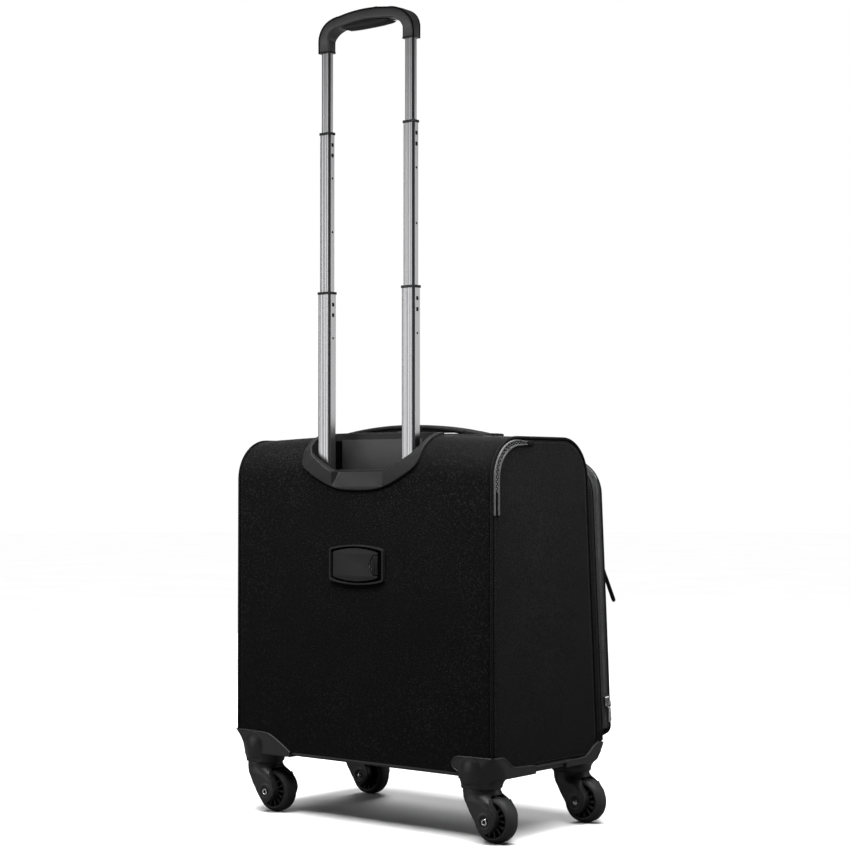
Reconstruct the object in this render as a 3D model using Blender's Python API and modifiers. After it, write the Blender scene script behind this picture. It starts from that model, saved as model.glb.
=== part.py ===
"""Softside upright spinner case for business travel, with a telescopic handle.

Frame: metres, +Z up, the front of the case faces -Y and its back, where the
telescopic handle runs, faces +Y. The origin is on the floor under the middle
of the object. The handle is modelled fully drawn out, the lid closed.
"""
import math

import bmesh
import bpy
from mathutils import Matrix, Vector

# ---------------------------------------------------------------- driving sizes
WIDTH = 0.420  # across the side panels
BACK_Y = 0.128  # outer face of the back
TOP_Z = 0.481  # outer face of the top
FOOT_Z = 0.082  # lower edge of the fabric panels
WALL = 0.004  # padded fabric over board
GAP = 0.0004  # clearance between touching pieces
TOP_CORNER_R = 0.050  # the side panels' two top corners
FOOT_CORNER_R = 0.028  # the side panels' lower front corner
ARC_STEP = 10  # degrees between points round the case's corners
CENTRE = (0.007, 0.004, 0)  # where the case stands, so that the trailing wheels stay centred
LEAN = math.atan(0.0655)  # the front leans back as it rises
SEAM_Y, SEAM_Z = -0.0681, 0.4216  # one point of the leaning front seam

LID_FOOT_Z = 0.1015
LID_HALF_WIDTH = 0.2085
LID_HEIGHT = 0.3545
LID_TOP_R = 0.045
LID_FOOT_R = 0.014
FRAME_FOOT = 0.003  # how far the mouth's frame reaches below the lid
FRAME_DEPTH = 0.0200
ZIP_THICKNESS = 0.0015
LID_DEPTH = 0.0155
LID_WALL = 0.0055
LID_EDGE_R = 0.0100
POCKET_DEPTH = 0.0085
HINGE_DEPTH = FRAME_DEPTH + 1.5 * GAP + ZIP_THICKNESS

REAR_ZIP_Y = 0.048  # where the rear zip crosses the top
RECESS_FLOOR_Z = 0.4405
RECESS_FRONT_Y = 0.0835
RECESS_BACK_Y = 0.1195

TUBE_X = 0.0699  # half the distance between the handle tubes
TUBE_Y = 0.1104
STAGE_WALL = 0.0009
CHANNEL_SIZE = (0.0240, 0.0170)
STAGE_SIZES = ((0.0210, 0.0140), (0.0180, 0.0112), (0.0150, 0.0088))
STAGE_TOPS = (0.6670, 0.8720, 0.9975)
STAGE_BOTTOMS = (0.3370, 0.5570, 0.7620)
COLLAR_HEIGHT = 0.0030
GRIP_FOOT_Z = 0.9775
GRIP_TOP_Z = 1.0230

CASTER_X = 0.179
REAR_CASTER_Y = BACK_Y - 0.0192
FRONT_CASTER_Y = -0.0762
WHEEL_R = 0.0275
WHEEL_HALF_WIDTH = 0.0105
WHEEL_CORE_R = 0.0205
TRAIL = 0.0217
AXLE_R = 0.0030
FORK_TOP_Z = 0.0628
FORK_HALF_WIDTH = 0.0235
FORK_R = 0.0230
STEM_R = 0.0060
HOUSING_FOOT_Z = 0.0636
PULL_PIN_OUT = 0.0056  # how far a zip slider's eye stands off the cloth
TRAY_THICKNESS = 0.0045
TRAY_FRONT_Y = -0.0575

# ---------------------------------------------------------------- materials
COLOURS = {  # name: (colour, roughness, metallic)
    "polyester": ((0.012, 0.012, 0.013), 0.85, 0.0),
    "lining": ((0.060, 0.062, 0.068), 0.90, 0.0),
    "moulded_plastic": ((0.020, 0.020, 0.021), 0.50, 0.0),
    "soft_rubber": ((0.010, 0.010, 0.011), 0.75, 0.0),
    "anodised_aluminium": ((0.620, 0.620, 0.630), 0.32, 1.0),
    "zip_tape": ((0.030, 0.030, 0.032), 0.80, 0.0),
    "zip_metal": ((0.550, 0.550, 0.560), 0.25, 1.0),
    "dark_metal": ((0.045, 0.045, 0.048), 0.40, 0.8),
    "tyre_rubber": ((0.028, 0.028, 0.029), 0.65, 0.0),
    "steel": ((0.600, 0.600, 0.600), 0.30, 1.0),
}
OBJECT_COLLECTION = "suitcase"
CUTTER_COLLECTION = "cutters"

SIDEWAYS = Matrix(((0, 0, 1, 0), (1, 0, 0, 0), (0, 1, 0, 0), (0, 0, 0, 1)))  # YZ outline, depth along X
UPRIGHT = Matrix.Rotation(math.pi / 2, 4, "X")  # XZ outline, depth along -Y


def seam_y(z):
    """Y of the leaning front seam at height z."""
    return SEAM_Y + (z - SEAM_Z) * math.tan(LEAN)


FRONT = Matrix.Translation((0, seam_y(LID_FOOT_Z), LID_FOOT_Z)) @ Matrix.Rotation(-LEAN, 4, "X")


# ---------------------------------------------------------------- scene helpers
def clear_scene():
    for obj in list(bpy.data.objects):
        bpy.data.objects.remove(obj, do_unlink=True)
    for name in (OBJECT_COLLECTION, CUTTER_COLLECTION):
        collection = bpy.data.collections.new(name)
        bpy.context.scene.collection.children.link(collection)
    bpy.data.collections[CUTTER_COLLECTION].hide_render = True


def material(name):
    """One Principled material for each entry of COLOURS."""
    found = bpy.data.materials.get(name)
    if found:
        return found
    colour, roughness, metallic = COLOURS[name]
    made = bpy.data.materials.new(name)
    made.use_nodes = True
    shader = made.node_tree.nodes["Principled BSDF"]
    shader.inputs["Base Color"].default_value = (*colour, 1.0)
    shader.inputs["Roughness"].default_value = roughness
    shader.inputs["Metallic"].default_value = metallic
    return made


def keep(obj, material_name, pivot=None):
    """Files a finished piece under the object's collection, with its material and its origin on its joint."""
    if pivot is not None:
        obj.data.transform(Matrix.Translation(-Vector(pivot)))
        obj.location = pivot
    for collection in list(obj.users_collection):
        collection.objects.unlink(obj)
    bpy.data.collections[OBJECT_COLLECTION].objects.link(obj)
    obj.data.materials.clear()
    obj.data.materials.append(material(material_name))
    return obj


def helper(obj):
    """Files a cutter, which is never rendered."""
    for collection in list(obj.users_collection):
        collection.objects.unlink(obj)
    bpy.data.collections[CUTTER_COLLECTION].objects.link(obj)
    obj.hide_render = True
    obj.display_type = "WIRE"
    return obj


def smooth(obj, angle=35):
    obj.data.shade_smooth()
    obj.data.set_sharp_from_angle(angle=math.radians(angle))
    return obj


def from_bmesh(name, bm):
    mesh = bpy.data.meshes.new(name)
    bmesh.ops.recalc_face_normals(bm, faces=bm.faces)
    bm.to_mesh(mesh)
    bm.free()
    obj = bpy.data.objects.new(name, mesh)
    bpy.context.scene.collection.objects.link(obj)
    return obj


def bake(obj):
    """Replaces an object by a mesh of what its modifiers or its curve make, with the caps welded."""
    bpy.context.view_layer.update()
    graph = bpy.context.evaluated_depsgraph_get()
    mesh = bpy.data.meshes.new_from_object(obj.evaluated_get(graph))
    name = obj.name
    bm = bmesh.new()
    bm.from_mesh(mesh)
    bmesh.ops.transform(bm, matrix=obj.matrix_world, verts=bm.verts)
    bmesh.ops.remove_doubles(bm, verts=bm.verts, dist=1e-6)
    bm.to_mesh(mesh)
    bm.free()
    bpy.data.objects.remove(obj, do_unlink=True)
    made = bpy.data.objects.new(name, mesh)
    bpy.context.scene.collection.objects.link(made)
    mesh.name = name
    return made


# ---------------------------------------------------------------- outlines
def rounded(corners, closed=True, step=15):
    """Points of a path whose corners (x, y, radius) are filleted, an arc point every `step` degrees."""
    points = []
    count = len(corners)
    for i, (x, y, radius) in enumerate(corners):
        here = Vector((x, y))
        if radius <= 0 or (not closed and i in (0, count - 1)):
            points.append(here)
            continue
        before = (Vector(corners[i - 1][:2]) - here).normalized()
        after = (Vector(corners[(i + 1) % count][:2]) - here).normalized()
        half = before.angle(after) / 2
        centre = here + (before + after).normalized() * (radius / math.sin(half))
        start = here + before * (radius / math.tan(half)) - centre
        sweep = start.angle_signed(here + after * (radius / math.tan(half)) - centre)
        steps = max(2, round(abs(math.degrees(sweep)) / step))
        for k in range(steps + 1):
            points.append(centre + Matrix.Rotation(-sweep * k / steps, 2) @ start)
    return points


def prism(name, loops, depth, placed=None, middle=0.0):
    """Solid between outlines (the first outer, the rest holes), `depth` thick about `middle` on its own Z."""
    curve = bpy.data.curves.new(name, "CURVE")
    curve.dimensions = "2D"
    curve.fill_mode = "BOTH"
    curve.extrude = depth / 2
    for loop in loops:
        spline = curve.splines.new("POLY")
        spline.points.add(len(loop) - 1)
        for point, at in zip(spline.points, loop):
            point.co = (at[0], at[1], 0, 1)
        spline.use_cyclic_u = True
    obj = bpy.data.objects.new(name, curve)
    bpy.context.scene.collection.objects.link(obj)
    obj.matrix_world = (placed or Matrix()) @ Matrix.Translation((0, 0, middle))
    return bake(obj)


def mirrored(half):
    """A closed outline from its +X half, listed from the bottom up."""
    return half + [(-x, z) for x, z in half[::-1] if x > 0]


def case_outline(grow=0.0):
    """The side panels' outline in YZ, moved outwards by `grow`."""
    low, high, back = FOOT_Z - grow, TOP_Z + grow, BACK_Y + grow
    shift = grow / math.cos(LEAN)
    return rounded([
        (seam_y(low) - shift, low, FOOT_CORNER_R + grow),
        (back, low, 0),
        (back, high, TOP_CORNER_R + grow),
        (seam_y(high) - shift, high, TOP_CORNER_R + grow),
    ], step=ARC_STEP)


def case_solid(name, grow):
    """The whole case as one block, for cutting what lies against it."""
    return helper(prism(name, [case_outline(grow)], WIDTH + 2 * grow, SIDEWAYS))


def lid_outline(inset=0.0):
    """The lid's outline in the leaning front's XZ, moved inwards by `inset`."""
    half = LID_HALF_WIDTH - inset
    low, high = inset, LID_HEIGHT - inset
    return rounded([
        (-half, low, LID_FOOT_R - inset / 2),
        (half, low, LID_FOOT_R - inset / 2),
        (half, high, LID_TOP_R - inset),
        (-half, high, LID_TOP_R - inset),
    ])


# ---------------------------------------------------------------- solids
def box(name, low, high):
    bm = bmesh.new()
    bmesh.ops.create_cube(bm, size=1.0)
    size = Vector(high) - Vector(low)
    middle = (Vector(high) + Vector(low)) / 2
    bmesh.ops.scale(bm, vec=size, verts=bm.verts)
    bmesh.ops.translate(bm, vec=middle, verts=bm.verts)
    return from_bmesh(name, bm)


def cylinder(name, foot, height, radius, top_radius=None, steps=24, turned=None):
    """A cylinder or cone standing on `foot`; `turned` swings it about that point."""
    bm = bmesh.new()
    bmesh.ops.create_cone(bm, cap_ends=True, segments=steps, radius1=radius,
                          radius2=radius if top_radius is None else top_radius, depth=height)
    bmesh.ops.translate(bm, vec=(0, 0, height / 2), verts=bm.verts)
    if turned is not None:
        bmesh.ops.transform(bm, matrix=turned, verts=bm.verts)
    bmesh.ops.translate(bm, vec=foot, verts=bm.verts)
    return from_bmesh(name, bm)


def turned(name, profile, steps=28):
    """A closed profile of (radius, height) points spun about Z, running down its outer side."""
    bm = bmesh.new()
    corners = [bm.verts.new((r, 0, z)) for r, z in profile]
    for a, b in zip(corners, corners[1:] + corners[:1]):
        bm.edges.new((a, b))
    mesh = bpy.data.meshes.new(name)
    bm.to_mesh(mesh)
    bm.free()
    obj = bpy.data.objects.new(name, mesh)
    bpy.context.scene.collection.objects.link(obj)
    screw = obj.modifiers.new("spin", "SCREW")
    screw.steps = screw.render_steps = steps
    screw.use_merge_vertices = True
    screw.merge_threshold = 1e-5
    return bake(obj)


def strip(name, path, half_width, thickness):
    """A sheet bent along a YZ path, from -half_width to +half_width, thickened inwards."""
    bm = bmesh.new()
    rows = [[bm.verts.new((x, y, z)) for x in (-half_width, half_width)] for y, z in path]
    for low, high in zip(rows, rows[1:]):
        bm.faces.new((low[0], high[0], high[1], low[1]))
    mesh = bpy.data.meshes.new(name)
    bm.to_mesh(mesh)
    bm.free()
    obj = bpy.data.objects.new(name, mesh)
    bpy.context.scene.collection.objects.link(obj)
    solid = obj.modifiers.new("thickness", "SOLIDIFY")
    solid.thickness = thickness
    solid.offset = -1.0
    solid.use_even_offset = True
    return bake(obj)


def loft(name, rings):
    """A closed skin over rings of equally many points, capped at both ends."""
    bm = bmesh.new()
    rows = [[bm.verts.new(point) for point in ring] for ring in rings]
    for low, high in zip(rows, rows[1:]):
        for i in range(len(low)):
            j = (i + 1) % len(low)
            bm.faces.new((low[i], low[j], high[j], high[i]))
    bm.faces.new(rows[0][::-1])
    bm.faces.new(rows[-1])
    return from_bmesh(name, bm)


def boolean(obj, operation, others):
    for other in others:
        modifier = obj.modifiers.new(operation.lower(), "BOOLEAN")
        modifier.operation = operation
        modifier.solver = "EXACT"
        modifier.object = helper(other)
    return bake(obj)


def cut(obj, *others):
    return boolean(obj, "DIFFERENCE", others)


def join(obj, *others):
    return boolean(obj, "UNION", others)


def within(obj, *others):
    return boolean(obj, "INTERSECT", others)


def soften(obj, width, segments=2, angle=40):
    """Rounded edges."""
    bevel = obj.modifiers.new("rounding", "BEVEL")
    bevel.width = width
    bevel.segments = segments
    bevel.limit_method = "ANGLE"
    bevel.angle_limit = math.radians(angle)
    return bake(obj)


# ---------------------------------------------------------------- case
def back_path(grow=0.0):
    return rounded([
        (BACK_Y + grow, FOOT_Z, 0),
        (BACK_Y + grow, TOP_Z + grow, TOP_CORNER_R + grow),
        (REAR_ZIP_Y + GAP, TOP_Z + grow, 0),
    ], closed=False, step=ARC_STEP)


def make_panels():
    inner_half = WIDTH / 2 - WALL - GAP
    back = strip("back_panel", back_path(), inner_half, WALL)
    notch = prism("recess_notch", [smile_outline(1.5 * GAP)], 0.1,
                  Matrix.Translation((0, RECESS_FRONT_Y - 0.0030 - GAP, 0)) @ UPRIGHT, -0.05)
    keep(smooth(cut(back, notch)), "polyester")

    top_end_z = 0.4285
    top_path = rounded([
        (REAR_ZIP_Y - GAP, TOP_Z, 0),
        (seam_y(TOP_Z), TOP_Z, TOP_CORNER_R),
        (seam_y(top_end_z), top_end_z, 0),
    ], closed=False, step=ARC_STEP)
    keep(smooth(strip("top_panel", top_path, inner_half, WALL)), "polyester")

    for side, sign in (("left", 1), ("right", -1)):
        panel = prism(f"side_panel_{side}", [case_outline()], WALL, SIDEWAYS, sign * (WIDTH / 2 - WALL / 2))
        keep(smooth(panel), "polyester")

    foot = FOOT_Z - GAP
    tray = box("bottom_tray", (-WIDTH / 2, TRAY_FRONT_Y, foot - TRAY_THICKNESS), (WIDTH / 2, BACK_Y, foot))
    keep(soften(tray, 0.0015, 1), "moulded_plastic")


def make_front_frame():
    """The hoop round the mouth of the main compartment, standing out from the leaning front."""
    reach = 0.030
    mouth = rounded([
        (-0.1950, 0.0165, 0.020), (0.1950, 0.0165, 0.020),
        (0.1950, 0.3220, 0.030), (-0.1950, 0.3220, 0.030),
    ])
    outer = rounded([
        (-LID_HALF_WIDTH, -FRAME_FOOT, 0.008), (LID_HALF_WIDTH, -FRAME_FOOT, 0.008),
        (LID_HALF_WIDTH, LID_HEIGHT, LID_TOP_R), (-LID_HALF_WIDTH, LID_HEIGHT, LID_TOP_R),
    ])
    hoop = prism("front_frame", [outer, mouth], reach + FRAME_DEPTH, FRONT @ UPRIGHT,
                 (FRAME_DEPTH - reach) / 2)
    hoop = cut(hoop, case_solid("case_for_frame", GAP))
    overlap = 2 * GAP
    foot = rounded([
        (TRAY_FRONT_Y - GAP, FOOT_Z - overlap, 0),
        (seam_y(FOOT_Z - overlap) - overlap, FOOT_Z - overlap, FOOT_CORNER_R),
        (seam_y(0.118) - overlap, 0.118, 0),
    ], closed=False, step=ARC_STEP)
    skirt = strip("skirt", foot[::-1], WIDTH / 2 - WALL - GAP, WALL)
    keep(smooth(join(hoop, skirt)), "polyester")
    ring = prism("main_zip_case_half", [lid_outline(), lid_outline(0.0065)], ZIP_THICKNESS, FRONT @ UPRIGHT,
                 FRAME_DEPTH + GAP + ZIP_THICKNESS / 2)
    keep(smooth(ring), "zip_tape")


def make_interior():
    board = box("back_lining", (-0.2, 0.0965, FOOT_Z + GAP), (0.2, 0.0990, 0.4330))
    keep(soften(board, 0.0008, 1), "lining")
    divider = prism("laptop_divider", [rounded([
        (-0.192, 0.0, 0.006), (0.192, 0.0, 0.006), (0.192, 0.272, 0.030), (-0.192, 0.272, 0.030),
    ])], 0.008, Matrix.Translation((0, 0.066, FOOT_Z + GAP)) @ UPRIGHT)
    keep(smooth(divider), "lining")


def smile_outline(grow=0.0):
    """Front view of the handle bezel's outer edge."""
    half = [(0.000, 0.4168), (0.020, 0.4176), (0.037, 0.4200), (0.052, 0.4248), (0.066, 0.4310),
            (0.078, 0.4372), (0.0885, 0.4435), (0.095, 0.4500), (0.0975, 0.4580), (0.0985, 0.4700),
            (0.1000, 0.5000)]
    return mirrored([(x + grow if x else 0.0, z - grow) for x, z in half])


def neckline_outline():
    """Front view of the bezel's opening, low in the middle where fingers reach under the grip."""
    return mirrored([(0.045, 0.4412), (0.0695, 0.4550), (0.083, 0.4640), (0.0885, 0.4735),
                     (0.0915, 0.4825), (0.093, 0.520)])


def make_bezel():
    proud = 0.0034
    deep = RECESS_FRONT_Y - 0.0030
    across = Matrix.Translation((0, deep, 0)) @ UPRIGHT
    bezel = prism("handle_bezel", [smile_outline()], 0.06, across, -0.03)
    bezel = within(bezel, case_solid("case_for_bezel", proud))
    cup = box("cup", (-0.0960, deep + 0.0004, RECESS_FLOOR_Z - 0.0034), (0.0960, 0.2, 0.6))
    cup = within(cup, case_solid("case_for_cup", -WALL - GAP))
    walls = mirrored([(0.0830, RECESS_FLOOR_Z), (0.0840, 0.4500), (0.0915, 0.4800), (0.093, 0.520)])
    room = prism("recess_room", [walls], RECESS_BACK_Y - RECESS_FRONT_Y,
                 Matrix.Translation((0, RECESS_FRONT_Y, 0)) @ UPRIGHT, (RECESS_FRONT_Y - RECESS_BACK_Y) / 2)
    dip_at = Matrix.Translation((0, RECESS_BACK_Y - 0.001, 0)) @ UPRIGHT
    dip = prism("dip", [neckline_outline()], 0.03, dip_at, -0.015)
    ramp_from, ramp_to = RECESS_BACK_Y - 0.002, BACK_Y + proud + 0.001
    slope = [(ramp_from, 0.4420), (ramp_from, RECESS_FLOOR_Z), (ramp_to, 0.4190), (ramp_to, 0.4420)]
    ramp = prism("ramp", [slope], 0.084, SIDEWAYS)
    below = box("below", (-0.2, deep - 0.01, 0.40), (0.2, BACK_Y - WALL, RECESS_FLOOR_Z - 0.0037))
    bezel = cut(join(bezel, cup), room, dip, ramp, below)
    hole = Vector(STAGE_SIZES[0]) / 2 + Vector((0.0006, 0.0006))
    for sign in (1, -1):
        low = (sign * TUBE_X - hole.x, TUBE_Y - hole.y, 0.40)
        high = (sign * TUBE_X + hole.x, TUBE_Y + hole.y, 0.46)
        bezel = cut(bezel, box("tube_hole", low, high))
    keep(smooth(bezel, 30), "moulded_plastic")


def make_rear_zip():
    """Zip tape along both side panels' rear top corners, joined by a run across the top."""
    edge_x = WIDTH / 2 + 0.0006
    rise = 0.0014
    low_z = 0.388
    inset = 0.0070
    bend = [(BACK_Y - inset, low_z, 0), (BACK_Y - inset, TOP_Z - inset, TOP_CORNER_R - inset),
            (REAR_ZIP_Y, TOP_Z - inset, 0)]
    side = rounded(bend, closed=False, step=15)
    points = [(edge_x + rise, y, z) for y, z in side]
    points.append((edge_x + rise, REAR_ZIP_Y, TOP_Z + rise + 0.0008))
    route = points + [(-x, y, z) for x, y, z in points[::-1]]
    curve = bpy.data.curves.new("rear_zip", "CURVE")
    curve.dimensions = "3D"
    curve.bevel_depth = 0.0014
    curve.bevel_resolution = 1
    curve.use_fill_caps = True
    spline = curve.splines.new("POLY")
    spline.points.add(len(route) - 1)
    for point, at in zip(spline.points, route):
        point.co = (*at, 1)
    obj = bpy.data.objects.new("rear_zip", curve)
    bpy.context.scene.collection.objects.link(obj)
    keep(obj, "zip_tape")


def make_carry_handle():
    """Padded strap over the top. Its middle lifts; its sewn ends stay."""
    y, crest, fall, reach = 0.023, 0.501, 0.0145, 0.130
    thickness, half_width, joint_x = 0.0062, 0.014, 0.094

    def arch(x, below=0.0):
        return crest - fall * (x / reach) ** 2 - below

    steps = 12
    xs = [joint_x - 2 * joint_x * k / steps for k in range(steps + 1)]
    outline = [(x, arch(x)) for x in xs] + [(x, arch(x, thickness)) for x in xs[::-1]]
    stand = Matrix.Translation((0, y, 0)) @ UPRIGHT
    pad = soften(prism("carry_handle", [outline], 2 * half_width, stand), 0.0022, 2, 50)
    keep(smooth(pad), "soft_rubber", (0, y, crest))
    for side, sign in (("left", 1), ("right", -1)):
        start = joint_x + 0.0012
        ends = [start + (0.137 - start) * k / 4 for k in range(5)]
        lid = [(sign * x, max(arch(x), TOP_Z + 0.0046)) for x in ends]
        base = [(sign * x, max(arch(x, thickness), TOP_Z + GAP)) for x in ends[::-1]]
        loop = lid + base if sign < 0 else (lid + base)[::-1]
        tab = prism(f"carry_tab_{side}", [loop], 2 * half_width, stand)
        keep(soften(tab, 0.0012, 1, 50), "soft_rubber")


def make_tag():
    """Address holder on the back: a fixed rim and a cover hinged at its left edge."""
    half, low, high, bulge = 0.0440, 0.3050, 0.3440, 0.0050

    def barrel(inset):
        side, steps = half - inset, 6
        shares = [k / steps for k in range(steps + 1)]
        arc = [(side * (1 - 2 * share), bulge * (1 - (1 - 2 * share) ** 2)) for share in shares]
        upper = [(x, high - inset + rise) for x, rise in arc]
        lower = [(x, low + inset - rise) for x, rise in arc[::-1]]
        return upper + lower

    front = Matrix.Translation((0, BACK_Y + GAP, 0)) @ UPRIGHT
    frame = prism("tag_frame", [barrel(0.0), barrel(0.0022)], 0.0040, front, -0.0020)
    keep(smooth(frame), "moulded_plastic")
    cover = [(x, z) for x, z in barrel(0.0030) if x > -0.036]
    cover += [(-0.0345, low + 0.0040), (-0.0345, high - 0.0040)]
    cover.sort(key=lambda at: math.atan2(at[1] - 0.3245, at[0]))
    made = prism("tag_cover", [cover], 0.0020, front, -0.0014)
    keep(smooth(made), "moulded_plastic", (0.0405, BACK_Y + GAP + 0.0014, 0.3245))


# ---------------------------------------------------------------- telescopic handle
def tube_outline(size):
    """Rounded box section with two shallow grooves along its broad faces."""
    a, b = size[0] / 2, size[1] / 2
    depth, groove = 0.0004, 0.0012
    corner, edge = 0.0022, 0.0006
    face = [(a, b - corner), (a - edge, b - edge), (a - corner, b)]
    for centre in (a * 0.42, -a * 0.42):
        face += [(centre + groove, b), (centre + groove / 2, b - depth),
                 (centre - groove / 2, b - depth), (centre - groove, b)]
    face += [(corner - a, b), (edge - a, b - edge), (-a, b - corner)]
    return face + [(-x, -y) for x, y in face]


def inner_outline(size, wall):
    a, b = size[0] / 2 - wall, size[1] / 2 - wall
    return rounded([(a, -b, 0.0008), (a, b, 0.0008), (-a, b, 0.0008), (-a, -b, 0.0008)], step=45)


def make_tube(name, size, low, high, x, windows=True):
    tube = prism(name, [tube_outline(size), inner_outline(size, STAGE_WALL)], high - low,
                 Matrix.Translation((x, TUBE_Y, (low + high) / 2)))
    if windows:
        for drop in (0.0130, 0.0265):
            window = box("window", (x - 0.02, TUBE_Y - 0.0024, high - drop - 0.0024),
                         (x + 0.02, TUBE_Y + 0.0024, high - drop + 0.0024))
            tube = cut(tube, window)
    return keep(smooth(tube, 30), "anodised_aluminium", (x, TUBE_Y, low))


def make_channels():
    top = RECESS_FLOOR_Z - 0.0042
    for side, sign in (("left", 1), ("right", -1)):
        tube = prism(f"channel_{side}", [
            rounded([(CHANNEL_SIZE[0] / 2 * i, CHANNEL_SIZE[1] / 2 * j, 0.0015)
                     for i, j in ((1, -1), (1, 1), (-1, 1), (-1, -1))], step=45),
            inner_outline(CHANNEL_SIZE, STAGE_WALL)], top - 0.0965,
            Matrix.Translation((sign * TUBE_X, TUBE_Y, (top + 0.0965) / 2)))
        keep(smooth(tube, 30), "anodised_aluminium")
    foot = box("channel_foot", (-0.088, 0.1000, FOOT_Z + GAP), (0.088, 0.1225, 0.0962))
    keep(soften(foot, 0.002, 2), "moulded_plastic")


def make_stages():
    for stage, (size, low, high) in enumerate(zip(STAGE_SIZES, STAGE_BOTTOMS, STAGE_TOPS), 1):
        for side, sign in (("left", 1), ("right", -1)):
            x = sign * TUBE_X
            make_tube(f"stage{stage}_tube_{side}", size, low, high, x, windows=stage < 3)
            if stage == 3:
                continue
            inner = STAGE_SIZES[stage]
            rim = [(a * (size[0] / 2 + 0.0004), b * (size[1] / 2 + 0.0004), 0.0020)
                   for a, b in ((1, -1), (1, 1), (-1, 1), (-1, -1))]
            hole = [(a * (inner[0] / 2 + 0.0004), b * (inner[1] / 2 + 0.0004), 0.0010)
                    for a, b in ((1, -1), (1, 1), (-1, 1), (-1, -1))]
            collar = prism(f"stage{stage}_collar_{side}", [rounded(rim, step=30), rounded(hole, step=45)],
                           COLLAR_HEIGHT, Matrix.Translation((x, TUBE_Y, high + GAP + COLLAR_HEIGHT / 2)))
            keep(smooth(collar, 30), "moulded_plastic", (x, TUBE_Y, high))


def grip_rings():
    """Sections along the grip: up one leg, over the arched bar and down the other."""
    leg = (0.0186, 0.0136)
    bar = (0.0135, 0.0230)
    foot_x = TUBE_X
    rise = GRIP_TOP_Z - bar[0] / 2
    path = [(foot_x, GRIP_FOOT_Z), (foot_x, GRIP_FOOT_Z + 0.010)]
    corner = 0.030
    bend = 8
    for k in range(bend + 1):
        angle = math.pi / 2 * k / bend
        path.append((foot_x - corner + corner * math.cos(angle),
                     rise - 0.0035 - corner * 0.72 + corner * 0.72 * math.sin(angle)))
    for k in range(1, 5):
        x = (foot_x - corner) * (1 - k / 4)
        path.append((x, rise - 0.0035 * (x / (foot_x - corner)) ** 2))
    path += [(-x, z) for x, z in path[-2::-1]]
    rings = []
    last = len(path) - 1
    for i, (x, z) in enumerate(path):
        ahead, behind = path[min(i + 1, last)], path[max(i - 1, 0)]
        along = Vector((ahead[0] - behind[0], 0, ahead[1] - behind[1])).normalized()
        across = Vector((0, 1, 0)).cross(along).normalized()
        share = min(1.0, max(0.0, (z - GRIP_FOOT_Z - 0.008) / (rise - GRIP_FOOT_Z - 0.012)))
        blend = share * share * (3 - 2 * share)
        a = (leg[0] + (bar[0] - leg[0]) * blend) / 2
        b = (leg[1] + (bar[1] - leg[1]) * blend) / 2
        edge = min(a, b) * 0.45
        section = rounded([(a, -b, edge), (a, b, edge), (-a, b, edge), (-a, -b, edge)], step=45)
        rings.append([Vector((x, TUBE_Y, z)) + across * u + Vector((0, v, 0)) for u, v in section])
    return rings


def make_grip():
    grip = loft("grip_shell", grip_rings())
    size = STAGE_SIZES[2]
    for sign in (1, -1):
        x = sign * TUBE_X
        socket = box("socket", (x - size[0] / 2 - 0.0004, TUBE_Y - size[1] / 2 - 0.0004, GRIP_FOOT_Z - 0.01),
                     (x + size[0] / 2 + 0.0004, TUBE_Y + size[1] / 2 + 0.0004, STAGE_TOPS[2] + 0.0006))
        grip = cut(grip, socket)
    well = box("button_well", (-0.0192, TUBE_Y - 0.0062, GRIP_TOP_Z - 0.0060), (0.0192, TUBE_Y + 0.0062, 1.1))
    keep(smooth(cut(grip, well), 40), "moulded_plastic", (0, TUBE_Y, GRIP_FOOT_Z))

    button = box("release_button", (-0.0186, TUBE_Y - 0.0056, GRIP_TOP_Z - 0.0020),
                 (0.0186, TUBE_Y + 0.0056, GRIP_TOP_Z + 0.0022))
    keep(smooth(soften(button, 0.0014, 2)), "moulded_plastic", (0, TUBE_Y, GRIP_TOP_Z))

    under = [(0.0385 - 0.077 * k / 10) for k in range(11)]
    top = [(x, GRIP_TOP_Z - 0.0135 - 0.0007 - 0.0035 * (x / 0.0399) ** 2) for x in under]
    belly = [(x, 1.0025 + 0.0016 * (abs(x) / 0.0385) ** 3) for x in under[::-1]]
    insert = prism("grip_insert", [top + belly], 0.0180, Matrix.Translation((0, TUBE_Y, 0)) @ UPRIGHT)
    keep(smooth(insert), "soft_rubber", (0, TUBE_Y, GRIP_FOOT_Z))


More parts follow.
